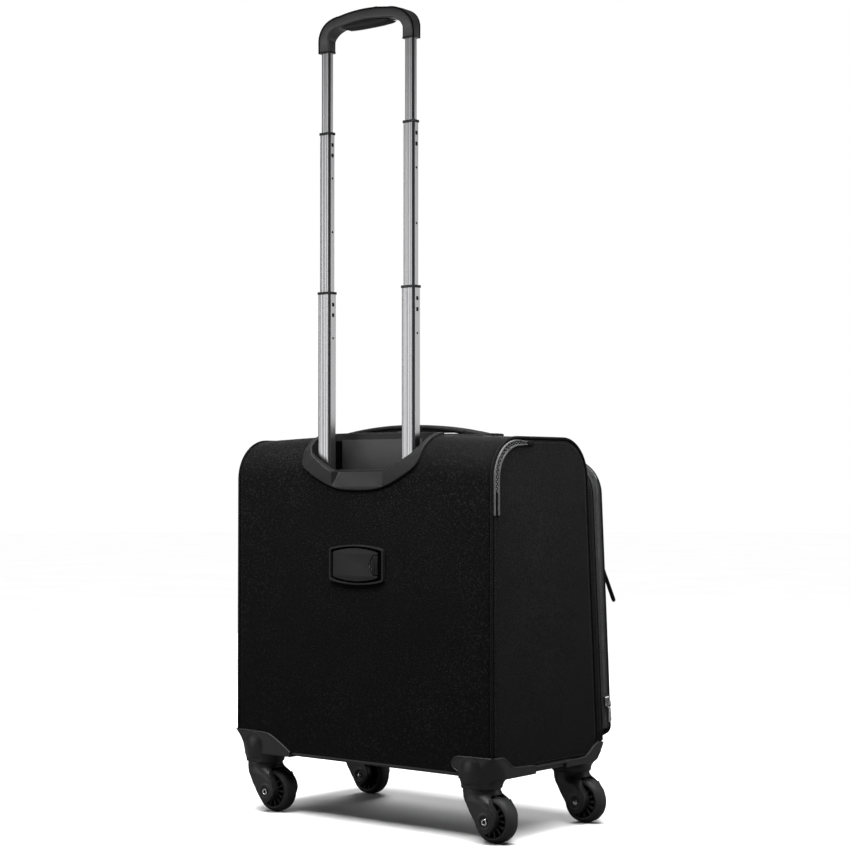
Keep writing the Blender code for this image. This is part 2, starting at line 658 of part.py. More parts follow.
# ---------------------------------------------------------------- casters
def make_housing(name, side, y, rear):
    """Moulded corner guard with the boss that the caster's stem turns in."""
    x = side * CASTER_X
    top = FOOT_Z - GAP - TRAY_THICKNESS - GAP
    crown = top if rear else 0.0960
    boss = cylinder(name, (x, y, HOUSING_FOOT_Z), crown - HOUSING_FOOT_Z, 0.0248,
                    0.0280 if rear else 0.0262, 28)
    edge_x = WIDTH / 2 + 0.0026
    if rear:
        plate = rounded([
            (BACK_Y + 0.0026, 0.0745, 0.003), (BACK_Y + 0.0026, 0.1020, 0.004),
            (0.1060, 0.1020, 0.006), (0.0910, 0.0880, 0.010), (0.0410, 0.0870, 0.003),
            (0.0410, 0.0745, 0.003),
        ], step=30)
    else:
        plate = rounded([
            (-0.0700, 0.0745, 0.014), (-0.0935, 0.0850, 0.010), (-0.0990, 0.0975, 0.001),
            (-0.0820, 0.0975, 0.006), (-0.0700, 0.0880, 0.010), (-0.0180, 0.0865, 0.003),
            (-0.0180, 0.0745, 0.003),
        ], step=30)
    reach = 0.056
    guard = prism("guard", [plate], reach, SIDEWAYS, side * (edge_x - reach / 2))
    parts = [guard]
    if rear:
        parts.append(cylinder("bulge", (x, y, top - 0.0005), 0.1020 - top, 0.0252, 0.0225, 28))
    housing = join(boss, *parts)
    housing = cut(housing, case_solid("case_for_guard", GAP if rear else 3.5 * GAP),
                  box("tray_room", (-0.3, TRAY_FRONT_Y - GAP, top), (0.3, BACK_Y + GAP, FOOT_Z + 0.001)),
                  cylinder("stem_bore", (x, y, 0.05), 0.0245, STEM_R + 0.0004, steps=20))
    keep(smooth(housing, 30), "moulded_plastic")


def make_fork(name, side, y):
    x = side * CASTER_X
    place = Matrix.Translation((x, y, 0)) @ UPRIGHT
    axle = (-TRAIL, WHEEL_R)
    arm = rounded([
        (0.0200, 0.0600, 0.002), (0.0110, 0.0480, 0.006), (-0.0120, 0.0140, 0.006), (-0.0290, 0.0130, 0.009),
        (-0.0385, 0.0290, 0.009), (-0.0270, 0.0410, 0.012), (-0.0217, 0.0600, 0.001),
    ], step=30)
    fork = prism(name, [arm], 2 * FORK_HALF_WIDTH, place)
    taper = [(FORK_HALF_WIDTH, 0.0), (FORK_HALF_WIDTH, 0.040), (0.0215, 0.055), (0.022, 0.07)]
    taper += [(-across, z) for across, z in taper[::-1]]
    fork = within(fork, prism("arm_taper", [taper], 0.12, Matrix.Translation((x, y, 0)) @ SIDEWAYS))
    crown = cylinder("crown", (x, y, 0.0560), FORK_TOP_Z - 0.0560, FORK_R - 0.0010, FORK_R, 28)
    stem = cylinder("stem", (x, y, FORK_TOP_Z - 0.002), 0.0120, STEM_R, steps=20)
    fork = join(fork, crown, stem)
    aside = Matrix.Rotation(-math.pi / 2, 4, "X")
    room = cylinder("wheel_room", (x + axle[0], y - 0.0122, axle[1]), 0.0244, WHEEL_R + 0.0014,
                    steps=28, turned=aside)
    under = box("under_room", (x + axle[0] - 0.04, y - 0.0122, -0.01),
                (x + axle[0] + 0.0285, y + 0.0122, WHEEL_R))
    bore = cylinder("axle_bore", (x + axle[0], y - 0.03, axle[1]), 0.06, AXLE_R + GAP, steps=16, turned=aside)
    fork = cut(fork, room, under, bore)
    keep(smooth(fork, 30), "moulded_plastic", (x, y, FORK_TOP_Z))


def make_wheel(prefix, side, y):
    x = side * CASTER_X - TRAIL
    w, r, core = WHEEL_HALF_WIDTH, WHEEL_R, WHEEL_CORE_R
    bore = AXLE_R + GAP
    rolled = Matrix.Translation((x, y, WHEEL_R)) @ Matrix.Rotation(math.pi / 2, 4, "X")
    hub = [(core, w - 0.0010), (core, -w + 0.0010), (core - 0.0020, -w + 0.0010),
           (core - 0.0024, -0.0025), (0.0085, -0.0025), (0.0075, -w - 0.0006), (bore, -w - 0.0006),
           (bore, w + 0.0006), (0.0075, w + 0.0006), (0.0085, 0.0025), (core - 0.0024, 0.0025),
           (core - 0.0020, w - 0.0010)]
    wheel = turned(f"{prefix}_wheel", hub)
    wheel.matrix_world = rolled
    keep(smooth(bake(wheel), 30), "moulded_plastic", (x, y, WHEEL_R))
    seat = core + GAP
    band = [(r, w * 0.45), (r, -w * 0.45), (r - 0.0010, -w * 0.80), (r - 0.0034, -w), (seat, -w),
            (seat, w), (r - 0.0034, w), (r - 0.0010, w * 0.80)]
    tyre = turned(f"{prefix}_tyre", band, 32)
    tyre.matrix_world = rolled
    keep(smooth(bake(tyre), 30), "tyre_rubber", (x, y, WHEEL_R))
    head_r, head_top_r = 0.0042, 0.0034
    half = FORK_HALF_WIDTH + 0.0022
    pin = cylinder(f"{prefix}_axle", (x, y - half, WHEEL_R), 2 * half, AXLE_R, steps=16,
                   turned=Matrix.Rotation(-math.pi / 2, 4, "X"))
    for way in (1, -1):
        start = y + way * (FORK_HALF_WIDTH + GAP)
        cap = cylinder("axle_head", (x, start, WHEEL_R), half - FORK_HALF_WIDTH - GAP, head_r, head_top_r, 16,
                       Matrix.Rotation(-way * math.pi / 2, 4, "X"))
        pin = join(pin, cap)
    keep(smooth(pin, 30), "steel", (x, y, WHEEL_R))


def make_casters():
    for row, y in (("rear", REAR_CASTER_Y), ("front", FRONT_CASTER_Y)):
        for side_name, side in (("left", 1), ("right", -1)):
            name = f"{row}_{side_name}"
            make_housing(f"{name}_housing", side, y, row == "rear")
            make_fork(f"{name}_fork", side, y)
            make_wheel(name, side, y)


# ---------------------------------------------------------------- lid
def make_lid():
    back = FRAME_DEPTH + 2 * GAP + ZIP_THICKNESS
    straight = LID_DEPTH - LID_EDGE_R
    sections = [(0.0, 0.0)]
    for k in range(5):
        angle = math.pi / 2 * k / 4
        sections.append((LID_EDGE_R * (1 - math.cos(angle)), straight + LID_EDGE_R * math.sin(angle)))
    place = FRONT @ UPRIGHT
    shell = loft("lid_shell", [[place @ Vector((x, z, back + depth)) for x, z in lid_outline(inset)]
                               for inset, depth in sections])
    hollow = prism("lid_hollow", [lid_outline(LID_WALL)], LID_DEPTH, place, back - LID_WALL + LID_DEPTH / 2)
    hinge = FRONT @ Vector((0, -HINGE_DEPTH, 0))
    keep(smooth(cut(shell, hollow)), "polyester", hinge)
    front = back + LID_DEPTH + GAP
    pocket = prism("front_pocket", [rounded([
        (-0.196, 0.018, 0.020), (0.196, 0.018, 0.020), (0.196, 0.333, 0.040), (-0.196, 0.333, 0.040),
    ])], POCKET_DEPTH, place, front + POCKET_DEPTH / 2)
    keep(smooth(soften(pocket, 0.0045, 2, 60)), "polyester", hinge)


# ---------------------------------------------------------------- zip sliders
def make_slider(name, place, metal):
    """Slider body on its zip: local Z along the zip, local Y away from the cloth."""
    body = prism(name, [rounded([(-0.0042, -0.0060, 0.002), (0.0042, -0.0060, 0.002),
                                 (0.0050, 0.0060, 0.002), (-0.0050, 0.0060, 0.002)], step=45)], 0.0030,
                 place @ UPRIGHT, -0.0015)
    post = box("bridge", (-0.0014, 0.0024, -0.0022), (0.0014, PULL_PIN_OUT + 0.0018, 0.0022))
    post.matrix_world = place
    across = Matrix.Rotation(math.pi / 2, 4, "Y")
    eye = cylinder("eye", (-0.01, PULL_PIN_OUT, 0.0), 0.02, 0.0010, steps=12, turned=across)
    eye.matrix_world = place
    keep(smooth(cut(join(body, bake(post)), bake(eye)), 30), metal, place.translation)


def make_pull(name, place, length, metal):
    """Forked pull on its pin: local origin on the pin, local -Z along the pull, pin along local X."""
    fork = [(-0.0038, 0.0012, 0.0008), (-0.0036, -length, 0.0030), (0.0036, -length, 0.0030),
            (0.0038, 0.0012, 0.0008), (0.0021, 0.0012, 0), (0.0021, -0.0046, 0.001),
            (-0.0021, -0.0046, 0.001), (-0.0021, 0.0012, 0)]
    bar = prism(name, [rounded(fork, step=30)], 0.0016, place @ UPRIGHT)
    across = Matrix.Rotation(math.pi / 2, 4, "Y")
    pin = cylinder("pin", (-0.0030, 0, 0), 0.0060, 0.0007, steps=10, turned=across)
    pin.matrix_world = place
    keep(smooth(join(bar, bake(pin)), 30), metal, place.translation)


def make_sliders():
    # main zip: on the right side panel, near the lid's foot
    zip_plane = FRAME_DEPTH + GAP + ZIP_THICKNESS / 2
    up = 0.047
    side_face = FRONT @ Matrix.Translation((-LID_HALF_WIDTH - 0.0014, -zip_plane, up))
    main = side_face @ Matrix.Rotation(math.pi / 2, 4, "Z")
    make_slider("main_slider", main, "zip_metal")
    make_pull("main_pull", main @ Matrix.Translation((0, PULL_PIN_OUT, 0)), 0.026, "zip_metal")

    # pocket zip: on the front, near the right edge
    front = FRAME_DEPTH + 3 * GAP + ZIP_THICKNESS + LID_DEPTH + POCKET_DEPTH
    pocket = FRONT @ Matrix.Translation((-0.1900, -front - GAP, 0.2180)) @ Matrix.Rotation(math.pi, 4, "Z")
    make_slider("pocket_slider", pocket, "dark_metal")
    swing = Matrix.Rotation(math.radians(20), 4, "X")
    make_pull("pocket_pull", pocket @ Matrix.Translation((0, PULL_PIN_OUT, 0)) @ swing, 0.046, "dark_metal")

    # rear zip: on the top, its pull lying towards +X
    top = Matrix.Translation((0, REAR_ZIP_Y, TOP_Z + 0.0042)) @ Matrix.Rotation(math.pi / 2, 4, "X")
    top = top @ Matrix.Rotation(math.pi / 2, 4, "Y")
    make_slider("rear_slider", top, "dark_metal")
    flat = Matrix.Rotation(math.radians(4), 4, "X")
    make_pull("rear_pull", top @ Matrix.Translation((0, PULL_PIN_OUT, 0)) @ flat, 0.024, "dark_metal")


# ---------------------------------------------------------------- assembly
def main():
    clear_scene()
    make_panels()
    make_front_frame()
    make_interior()
    make_bezel()
    make_rear_zip()
    make_carry_handle()
    make_tag()
    make_channels()
    make_stages()
    make_grip()
    make_casters()
    make_lid()
    make_sliders()
    case = bpy.data.objects.new("case_frame", None)
    bpy.data.collections[OBJECT_COLLECTION].objects.link(case)
    for piece in bpy.data.collections[OBJECT_COLLECTION].objects:
        if piece is not case:
            piece.parent = case
    case.location = CENTRE


main()
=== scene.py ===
"""Looks of a softside upright spinner case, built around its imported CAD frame.

Pieces are modelled in the case's own frame (X = 0 in the middle of the case, +Y to its back,
metres) and moved to the row frame by SHIFT when they are finished.
"""
import math

import bmesh
import bpy
from mathutils import Matrix, Vector, noise


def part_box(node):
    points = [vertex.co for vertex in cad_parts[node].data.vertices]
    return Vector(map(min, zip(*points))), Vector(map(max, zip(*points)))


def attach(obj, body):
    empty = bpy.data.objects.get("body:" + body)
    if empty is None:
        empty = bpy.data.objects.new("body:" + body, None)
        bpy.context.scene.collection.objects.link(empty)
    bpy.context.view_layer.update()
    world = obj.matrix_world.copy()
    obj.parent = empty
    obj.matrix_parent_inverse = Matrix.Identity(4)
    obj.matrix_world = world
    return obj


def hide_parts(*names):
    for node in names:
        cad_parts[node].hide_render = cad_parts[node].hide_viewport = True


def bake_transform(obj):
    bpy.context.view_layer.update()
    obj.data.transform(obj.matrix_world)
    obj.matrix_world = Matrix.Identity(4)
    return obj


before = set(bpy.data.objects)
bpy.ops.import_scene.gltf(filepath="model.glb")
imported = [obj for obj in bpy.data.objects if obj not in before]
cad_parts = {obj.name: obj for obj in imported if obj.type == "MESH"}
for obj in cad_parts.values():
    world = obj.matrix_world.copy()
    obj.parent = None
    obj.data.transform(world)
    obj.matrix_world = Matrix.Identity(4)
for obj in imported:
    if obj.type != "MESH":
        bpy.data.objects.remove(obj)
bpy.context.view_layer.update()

# ---------------------------------------------------------------- sizes taken from the frame
SIDE_LEFT, SIDE_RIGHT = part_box("side_panel_left"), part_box("side_panel_right")
BACK_Y = 0.128  # outer face of the back in the case's own frame
SHIFT = Vector(((SIDE_LEFT[1].x + SIDE_RIGHT[0].x) / 2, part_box("back_panel")[1].y - BACK_Y, 0.0))
WIDTH = SIDE_LEFT[1].x - SIDE_RIGHT[0].x
HALF = WIDTH / 2
TOP_Z = SIDE_LEFT[1].z
FOOT_Z = SIDE_LEFT[0].z
LEAN = math.atan(0.0655)
SEAM_Y, SEAM_Z = -0.0681, 0.4216
TOP_CORNER_R, FOOT_CORNER_R = 0.050, 0.028
CROWN = 0.0060  # how far the cloth of the top rises over the side panels' edges
BELLY = 0.0015  # and how far the back and the sides swell

LID_FOOT_Z, LID_HALF_WIDTH, LID_HEIGHT = 0.1015, 0.2085, 0.3545
LID_TOP_R, LID_FOOT_R, LID_EDGE_R = 0.045, 0.014, 0.010
FRAME_DEPTH, ZIP_DEPTH, LID_BACK, LID_DEPTH = 0.0200, 0.0212, 0.0223, 0.0155
LID_FRONT = LID_BACK + LID_DEPTH

REAR_ZIP_Y, REAR_ZIP_FOOT_Z = 0.048, 0.388
RECESS_FLOOR_Z, RECESS_FRONT_Y, RECESS_BACK_Y = 0.4405, 0.0835, 0.1195
TUBE_X, TUBE_Y = 0.0699, 0.1104
STAGE_SIZES = ((0.0210, 0.0140), (0.0180, 0.0112), (0.0150, 0.0088))
GUARD_PROUD = 0.0026  # how far the corner guards stand out from the boards
CASTER_X, REAR_CASTER_Y, FRONT_CASTER_Y = 0.179, BACK_Y - 0.0192, -0.0762
WHEEL_R, TRAIL = 0.0275, 0.0217
SIDES = (("left", 1), ("right", -1))

SIDEWAYS = Matrix(((0, 0, 1, 0), (1, 0, 0, 0), (0, 1, 0, 0), (0, 0, 0, 1)))  # outline in YZ, depth along X
UPRIGHT = Matrix.Rotation(math.pi / 2, 4, "X")  # outline in XZ, depth along -Y
NEAR_AXIS = 0.00005  # radius at which a spun profile closes, in place of the axis itself
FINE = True


def seam_y(z):
    """Y of the leaning front plane at height z."""
    return SEAM_Y + (z - SEAM_Z) * math.tan(LEAN)


FRONT = Matrix.Translation((0, seam_y(LID_FOOT_Z), LID_FOOT_Z)) @ Matrix.Rotation(-LEAN, 4, "X")


def on_front(x, z, depth):
    """A point `depth` out from the leaning front plane, z measured up it from the lid's foot."""
    return FRONT @ Vector((x, -depth, z))


def facing_front():
    """The direction straight out from the leaning front."""
    return FRONT.to_3x3() @ Vector((0, -1, 0))


def smoothstep(value, low, high):
    """0 below low, 1 above high, and an S-curve between them; low may be the larger one."""
    share = min(1.0, max(0.0, (value - low) / (high - low)))
    return share * share * (3 - 2 * share)


# ---------------------------------------------------------------- materials
def new_material(name, colour, roughness, metallic=0.0, specular=0.5, sheen=0.0):
    """A Principled material and its node helpers; uniform values sit on the shader's own sockets."""
    made = bpy.data.materials.new(name)
    made.use_nodes = True
    shader = made.node_tree.nodes["Principled BSDF"]
    shader.inputs["Base Color"].default_value = (*colour, 1.0)
    shader.inputs["Roughness"].default_value = roughness
    shader.inputs["Metallic"].default_value = metallic
    shader.inputs["Specular IOR Level"].default_value = specular
    shader.inputs["Sheen Weight"].default_value = sheen
    shader.inputs["Sheen Roughness"].default_value = 0.45
    return made, made.node_tree, shader


def scaled_coordinates(tree, source, scale):
    """Object or UV coordinates, in metres, times `scale`."""
    place = tree.nodes.new("ShaderNodeTexCoord")
    mapping = tree.nodes.new("ShaderNodeMapping")
    mapping.inputs["Scale"].default_value = scale
    tree.links.new(place.outputs[source], mapping.inputs["Vector"])
    return mapping.outputs["Vector"]


def noise_value(tree, scale, detail=3.0, stretch=(1, 1, 1)):
    """Noise in the object's own metres, optionally stretched along an axis."""
    made = tree.nodes.new("ShaderNodeTexNoise")
    made.inputs["Scale"].default_value = scale
    made.inputs["Detail"].default_value = detail
    tree.links.new(scaled_coordinates(tree, "Object", stretch), made.inputs["Vector"])
    return made.outputs["Fac"]


def mixed_colour(tree, factor, low, high, start=0.3, end=0.7):
    """A colour ramp from low to high."""
    ramp = tree.nodes.new("ShaderNodeValToRGB")
    ramp.color_ramp.elements[0].position = start
    ramp.color_ramp.elements[0].color = (*low, 1.0)
    ramp.color_ramp.elements[1].position = end
    ramp.color_ramp.elements[1].color = (*high, 1.0)
    tree.links.new(factor, ramp.inputs["Fac"])
    return ramp.outputs["Color"]


def ranged(tree, factor, low, high):
    """A value from low to high as factor goes from 0 to 1."""
    made = tree.nodes.new("ShaderNodeMapRange")
    made.inputs["To Min"].default_value = low
    made.inputs["To Max"].default_value = high
    tree.links.new(factor, made.inputs["Value"])
    return made.outputs["Result"]


def add_bump(tree, shader, height, distance, strength=1.0):
    """Bumps stack: each new one goes on top of what the normal already carries."""
    bump = tree.nodes.new("ShaderNodeBump")
    bump.inputs["Distance"].default_value = distance
    bump.inputs["Strength"].default_value = strength
    tree.links.new(height, bump.inputs["Height"])
    if shader.inputs["Normal"].is_linked:
        tree.links.new(shader.inputs["Normal"].links[0].from_socket, bump.inputs["Normal"])
    tree.links.new(bump.outputs["Normal"], shader.inputs["Normal"])


def calculated(tree, operation, a, b):
    """A Math node's result for sockets or plain numbers."""
    made = tree.nodes.new("ShaderNodeMath")
    made.operation = operation
    for socket, value in zip(made.inputs, (a, b)):
        if isinstance(value, (int, float)):
            socket.default_value = value
        else:
            tree.links.new(value, socket)
    return made.outputs["Value"]


def thread_wave(tree, direction, pitch):
    """Rounded threads lying side by side, one every `pitch` metres of the UV map."""
    wave = tree.nodes.new("ShaderNodeTexWave")
    wave.bands_direction = direction
    wave.inputs["Scale"].default_value = math.pi / (10 * pitch)
    tree.links.new(scaled_coordinates(tree, "UV", (1, 1, 1)), wave.inputs["Vector"])
    return wave.outputs["Fac"]


def woven(name, low, high, pitch=0.0011, depth=0.00022, roughness=0.8, specular=0.05, sheen=0.03):
    """Plain-woven synthetic cloth: crossing threads, uneven yarn and a faint change of shade."""
    made, tree, shader = new_material(name, low, roughness, specular=specular, sheen=sheen)
    weave = calculated(tree, "MULTIPLY", thread_wave(tree, "X", pitch), thread_wave(tree, "Y", pitch))
    yarn = noise_value(tree, 540, 2.0)
    broad = calculated(tree, "MULTIPLY", noise_value(tree, 14, 4.0), 0.08)
    fine = calculated(tree, "ADD", calculated(tree, "MULTIPLY", weave, 0.24),
                      calculated(tree, "MULTIPLY", yarn, 0.68))
    shade = calculated(tree, "ADD", broad, fine)
    tree.links.new(mixed_colour(tree, shade, low, high, 0.40, 0.57), shader.inputs["Base Color"])
    tree.links.new(ranged(tree, yarn, roughness - 0.08, roughness + 0.08), shader.inputs["Roughness"])
    add_bump(tree, shader, noise_value(tree, 38, 3.0), 0.0009, 0.18)
    add_bump(tree, shader, weave, depth)
    add_bump(tree, shader, yarn, depth * 1.2)
    return made


def moulded(name, low, high, roughness=0.45, grain=0.00006, specular=0.4, scale=1500):
    """Moulded plastic with a fine spark-eroded grain and slight handling wear."""
    made, tree, shader = new_material(name, low, roughness, specular=specular)
    fine = noise_value(tree, scale, 2.0)
    broad = noise_value(tree, 45, 4.0)
    tree.links.new(mixed_colour(tree, broad, low, high), shader.inputs["Base Color"])
    tree.links.new(ranged(tree, broad, roughness - 0.07, roughness + 0.09), shader.inputs["Roughness"])
    add_bump(tree, shader, fine, grain)
    return made


def metal(name, colour, roughness, along=None, streak=0.03, metallic=1.0):
    """Drawn or polished metal; `along` stretches its brushing along an axis."""
    made, tree, shader = new_material(name, colour, roughness, metallic)
    stretch = {"Z": (1, 1, 0.012), "X": (0.012, 1, 1), None: (1, 1, 1)}[along]
    lines = noise_value(tree, 1400 if along else 300, 3.0, stretch)
    dark = tuple(c * 0.86 for c in colour)
    tree.links.new(mixed_colour(tree, lines, dark, colour), shader.inputs["Base Color"])
    tree.links.new(ranged(tree, lines, roughness - streak, roughness + streak), shader.inputs["Roughness"])
    if not along:
        add_bump(tree, shader, lines, 0.000004)
    return made


def quilted_lining(name, low, high):
    """Thin plain lining cloth with small raised diamonds in its weave."""
    made = woven(name, low, high, 0.0006, 0.00008, 0.6, 0.3, 0.2)
    tree = made.node_tree
    shader = tree.nodes["Principled BSDF"]
    checks = tree.nodes.new("ShaderNodeTexChecker")
    checks.inputs["Scale"].default_value = 1.0
    mapping = scaled_coordinates(tree, "UV", (140, 140, 140))
    mapping.node.inputs["Rotation"].default_value = (0, 0, math.radians(45))
    tree.links.new(mapping, checks.inputs["Vector"])
    add_bump(tree, shader, checks.outputs["Fac"], 0.00012)
    return made


FINISH = {
    "cloth": woven("ballistic_cloth", (0.0021, 0.0021, 0.0022), (0.0134, 0.0134, 0.0138)),
    "edge_cloth": woven(
        "binding_cloth", (0.0026, 0.0026, 0.0027), (0.0078, 0.0078, 0.0080), 0.0008, 0.00012),
    "webbing": woven(
        "webbing", (0.0030, 0.0030, 0.0031), (0.0110, 0.0110, 0.0113), 0.0016, 0.0003, 0.7, 0.2),
    "thread": woven(
        "sewing_thread", (0.0100, 0.0100, 0.0104), (0.0230, 0.0230, 0.0236), 0.0004, 0.00008, 0.6, 0.4),
    "zip_tape": woven(
        "zip_tape", (0.020, 0.020, 0.0208), (0.045, 0.045, 0.0462), 0.0007, 0.00010, 0.7, 0.3),
    # Lighter zip tape for the rear zip: a painted highlight along its raised edges.
    "zip_tape_highlight": woven(
        "zip_tape_painted_highlight", (0.044, 0.044, 0.0455), (0.082, 0.082, 0.084), 0.0007, 0.00010, 0.55, 0.4),
    "coil": moulded("zip_coil", (0.050, 0.050, 0.052), (0.085, 0.085, 0.088), 0.35, 0.00002),
    "lining": quilted_lining("lining_cloth", (0.045, 0.047, 0.052), (0.075, 0.078, 0.086)),
    "plastic": moulded(
        "trim_plastic", (0.0074, 0.0074, 0.0076), (0.0106, 0.0106, 0.0109), 0.50, specular=0.26),
    # Lighter plastic: painted light on the recess wall's panel and painted highlights on the guards' rim
    # cords.
    "recess": moulded("painted_highlight_plastic", (0.0180, 0.0180, 0.0185), (0.0235, 0.0235, 0.0241), 0.50),
    "guard": moulded("guard_plastic", (0.0060, 0.0060, 0.0062), (0.0100, 0.0100, 0.0103), 0.40),
    "fork": moulded("fork_plastic", (0.0080, 0.0080, 0.0082), (0.0130, 0.0130, 0.0133), 0.40),
    "grip": moulded("grip_plastic", (0.0115, 0.0115, 0.0118), (0.0165, 0.0165, 0.0170), 0.36),
    "rubber": moulded(
        "soft_rubber", (0.0050, 0.0050, 0.0052), (0.0090, 0.0090, 0.0093), 0.62, 0.0001, 0.25),
    "tyre": moulded(
        "tyre_rubber", (0.0180, 0.0180, 0.0185), (0.0270, 0.0270, 0.0277), 0.55, 0.0001, 0.3, 900),
    # Near-black plastic: the own colour of the grip feet and zip garages, and painted shade on the hub webs,
    # rivet hollows, catches and the top zip's bed.
    "dark": moulded(
        "black_plastic_and_painted_shade", (0.0030, 0.0030, 0.0031), (0.0050, 0.0050, 0.0051), 0.7, 0.00004, 0.2),
    "aluminium": metal("anodised_aluminium", (0.52, 0.52, 0.53), 0.30, "Z"),
    "chrome": metal("polished_zip_metal", (0.72, 0.72, 0.73), 0.16),
    "steel": metal("turned_steel", (0.66, 0.66, 0.67), 0.24),
    "gunmetal": metal("dark_zip_metal", (0.060, 0.060, 0.064), 0.34, None, 0.04, 0.85),
    # Near-black strips put where there is only shade: painted shadows in seams, under zip coils, beside the
    # tubes and round the tag's card.
    "groove": moulded(
        "groove_shadow", (0.0008, 0.0008, 0.0008), (0.0014, 0.0014, 0.0014), 0.9, 0.00004, 0.05),
    "card": moulded("address_card", (0.55, 0.54, 0.51), (0.62, 0.61, 0.58), 0.8, 0.00003, 0.2),
}


# ---------------------------------------------------------------- mesh helpers
def link(name, mesh):
    """A new object in the scene for this mesh, curve or light."""
    made = bpy.data.objects.new(name, mesh)
    bpy.context.scene.collection.objects.link(made)
    return made


def from_bmesh(name, bm):
    """Ends a bmesh as an object, its normals facing outwards."""
    mesh = bpy.data.meshes.new(name)
    bmesh.ops.recalc_face_normals(bm, faces=bm.faces)
    bm.to_mesh(mesh)
    bm.free()
    return link(name, mesh)


def bake(obj):
    """Replaces an object by a plain mesh of what its modifiers or its curve make."""
    bpy.context.view_layer.update()
    graph = bpy.context.evaluated_depsgraph_get()
    mesh = bpy.data.meshes.new_from_object(obj.evaluated_get(graph))
    name = obj.name
    bm = bmesh.new()
    bm.from_mesh(mesh)
    bmesh.ops.transform(bm, matrix=obj.matrix_world, verts=bm.verts)
    bmesh.ops.remove_doubles(bm, verts=bm.verts, dist=1e-6)
    bm.to_mesh(mesh)
    bm.free()
    bpy.data.objects.remove(obj, do_unlink=True)
    mesh.name = name
    return link(name, mesh)


def box_uv(mesh):
    """UVs in metres, projected along each face's main direction, so that the weave keeps its size."""
    layer = mesh.uv_layers.get("weave") or mesh.uv_layers.new(name="weave")
    coords = [vertex.co for vertex in mesh.vertices]
    for face in mesh.polygons:
        normal = face.normal
        sizes = [abs(normal.x), abs(normal.y), abs(normal.z)]
        skip = sizes.index(max(sizes))
        u, v = [axis for axis in range(3) if axis != skip]
        for corner in face.loop_indices:
            at = coords[mesh.loops[corner].vertex_index]
            layer.data[corner].uv = (at[u], at[v])


def add_piece(obj, body, finish, slot, replaces=(), angle=35):
    """Moves a finished mesh to the row frame, gives it its material and hangs it on its body."""
    obj.data.transform(Matrix.Translation(SHIFT))
    box_uv(obj.data)
    obj.data.shade_smooth()
    obj.data.set_sharp_from_angle(angle=math.radians(angle))
    if not obj.data.materials:
        obj.data.materials.append(FINISH[finish])
    if body:
        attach(obj, body)
    if replaces:
        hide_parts(*replaces)
    return obj


def joined(name, objects):
    """One mesh object out of several."""
    bm = bmesh.new()
    for obj in objects:
        obj.data.transform(obj.matrix_world)
        bm.from_mesh(obj.data)
    for obj in objects:
        bpy.data.objects.remove(obj, do_unlink=True)
    mesh = bpy.data.meshes.new(name)
    bm.to_mesh(mesh)
    bm.free()
    return link(name, mesh)


def rounded(corners, closed=True, step=6):
    """Points of a path whose corners (x, y, radius) are filleted, an arc point every `step` degrees."""
    points = []
    count = len(corners)
    for i, (x, y, radius) in enumerate(corners):
        here = Vector((x, y))
        if radius <= 0 or (not closed and i in (0, count - 1)):
            points.append(here)
            continue
        before = (Vector(corners[i - 1][:2]) - here).normalized()
        after = (Vector(corners[(i + 1) % count][:2]) - here).normalized()
        half = before.angle(after) / 2
        centre = here + (before + after).normalized() * (radius / math.sin(half))
        start = here + before * (radius / math.tan(half)) - centre
        sweep = start.angle_signed(here + after * (radius / math.tan(half)) - centre)
        steps = max(2, round(abs(math.degrees(sweep)) / step))
        for k in range(steps + 1):
            points.append(centre + Matrix.Rotation(-sweep * k / steps, 2) @ start)
    return points


def resampled(points, spacing, closed=False):
    """The same path with evenly spaced points."""
    path = [Vector(p) for p in points]
    if closed:
        path.append(path[0].copy())
    lengths = [0.0]
    for a, b in zip(path, path[1:]):
        lengths.append(lengths[-1] + (b - a).length)
    count = max(2, round(lengths[-1] / spacing))
    made = []
    i = 0
    for k in range(count + (0 if closed else 1)):
        at = lengths[-1] * k / count
        while i < len(path) - 2 and lengths[i + 1] < at:
            i += 1
        span = max(lengths[i + 1] - lengths[i], 1e-12)
        made.append(path[i].lerp(path[i + 1], min(1.0, (at - lengths[i]) / span)))
    return made


def spline(points, steps=8):
    """A smooth open path through its points."""
    at = [Vector(p) for p in points]
    at = [at[0] * 2 - at[1], *at, at[-1] * 2 - at[-2]]
    made = []
    for a, b, c, d in zip(at, at[1:], at[2:], at[3:]):
        for k in range(steps):
            t = k / steps
            made.append(0.5 * ((2 * b) + (c - a) * t + (2 * a - 5 * b + 4 * c - d) * t * t
                               + (3 * b - a - 3 * c + d) * t ** 3))
    return [*made, at[-2]]


def mirrored(half):
    """A closed outline from its +X half, listed from the bottom up."""
    return list(half) + [Vector((-p[0], p[1])) for p in half[::-1] if p[0] > 1e-6]


def inset_loop(loop, distance):
    """A closed outline, running anticlockwise, moved inwards."""
    made = []
    count = len(loop)
    for i, here in enumerate(loop):
        before = (here - loop[i - 1]).normalized()
        after = (loop[(i + 1) % count] - here).normalized()
        side = Vector((-(before + after).y, (before + after).x)).normalized()
        reach = distance / max(0.5, side.dot(Vector((-before.y, before.x))))
        made.append(here + side * reach)
    return made


def prism(name, loops, depth, placed=None, middle=0.0):
    """Solid between outlines, the first outer and the rest holes, `depth` thick about `middle` on its Z."""
    curve = bpy.data.curves.new(name, "CURVE")
    curve.dimensions = "2D"
    curve.fill_mode = "BOTH"
    curve.extrude = depth / 2
    for loop in loops:
        made = curve.splines.new("POLY")
        made.points.add(len(loop) - 1)
        for point, at in zip(made.points, loop):
            point.co = (at[0], at[1], 0, 1)
        made.use_cyclic_u = True
    obj = link(name, curve)
    obj.matrix_world = (placed or Matrix()) @ Matrix.Translation((0, 0, middle))
    return bake(obj)


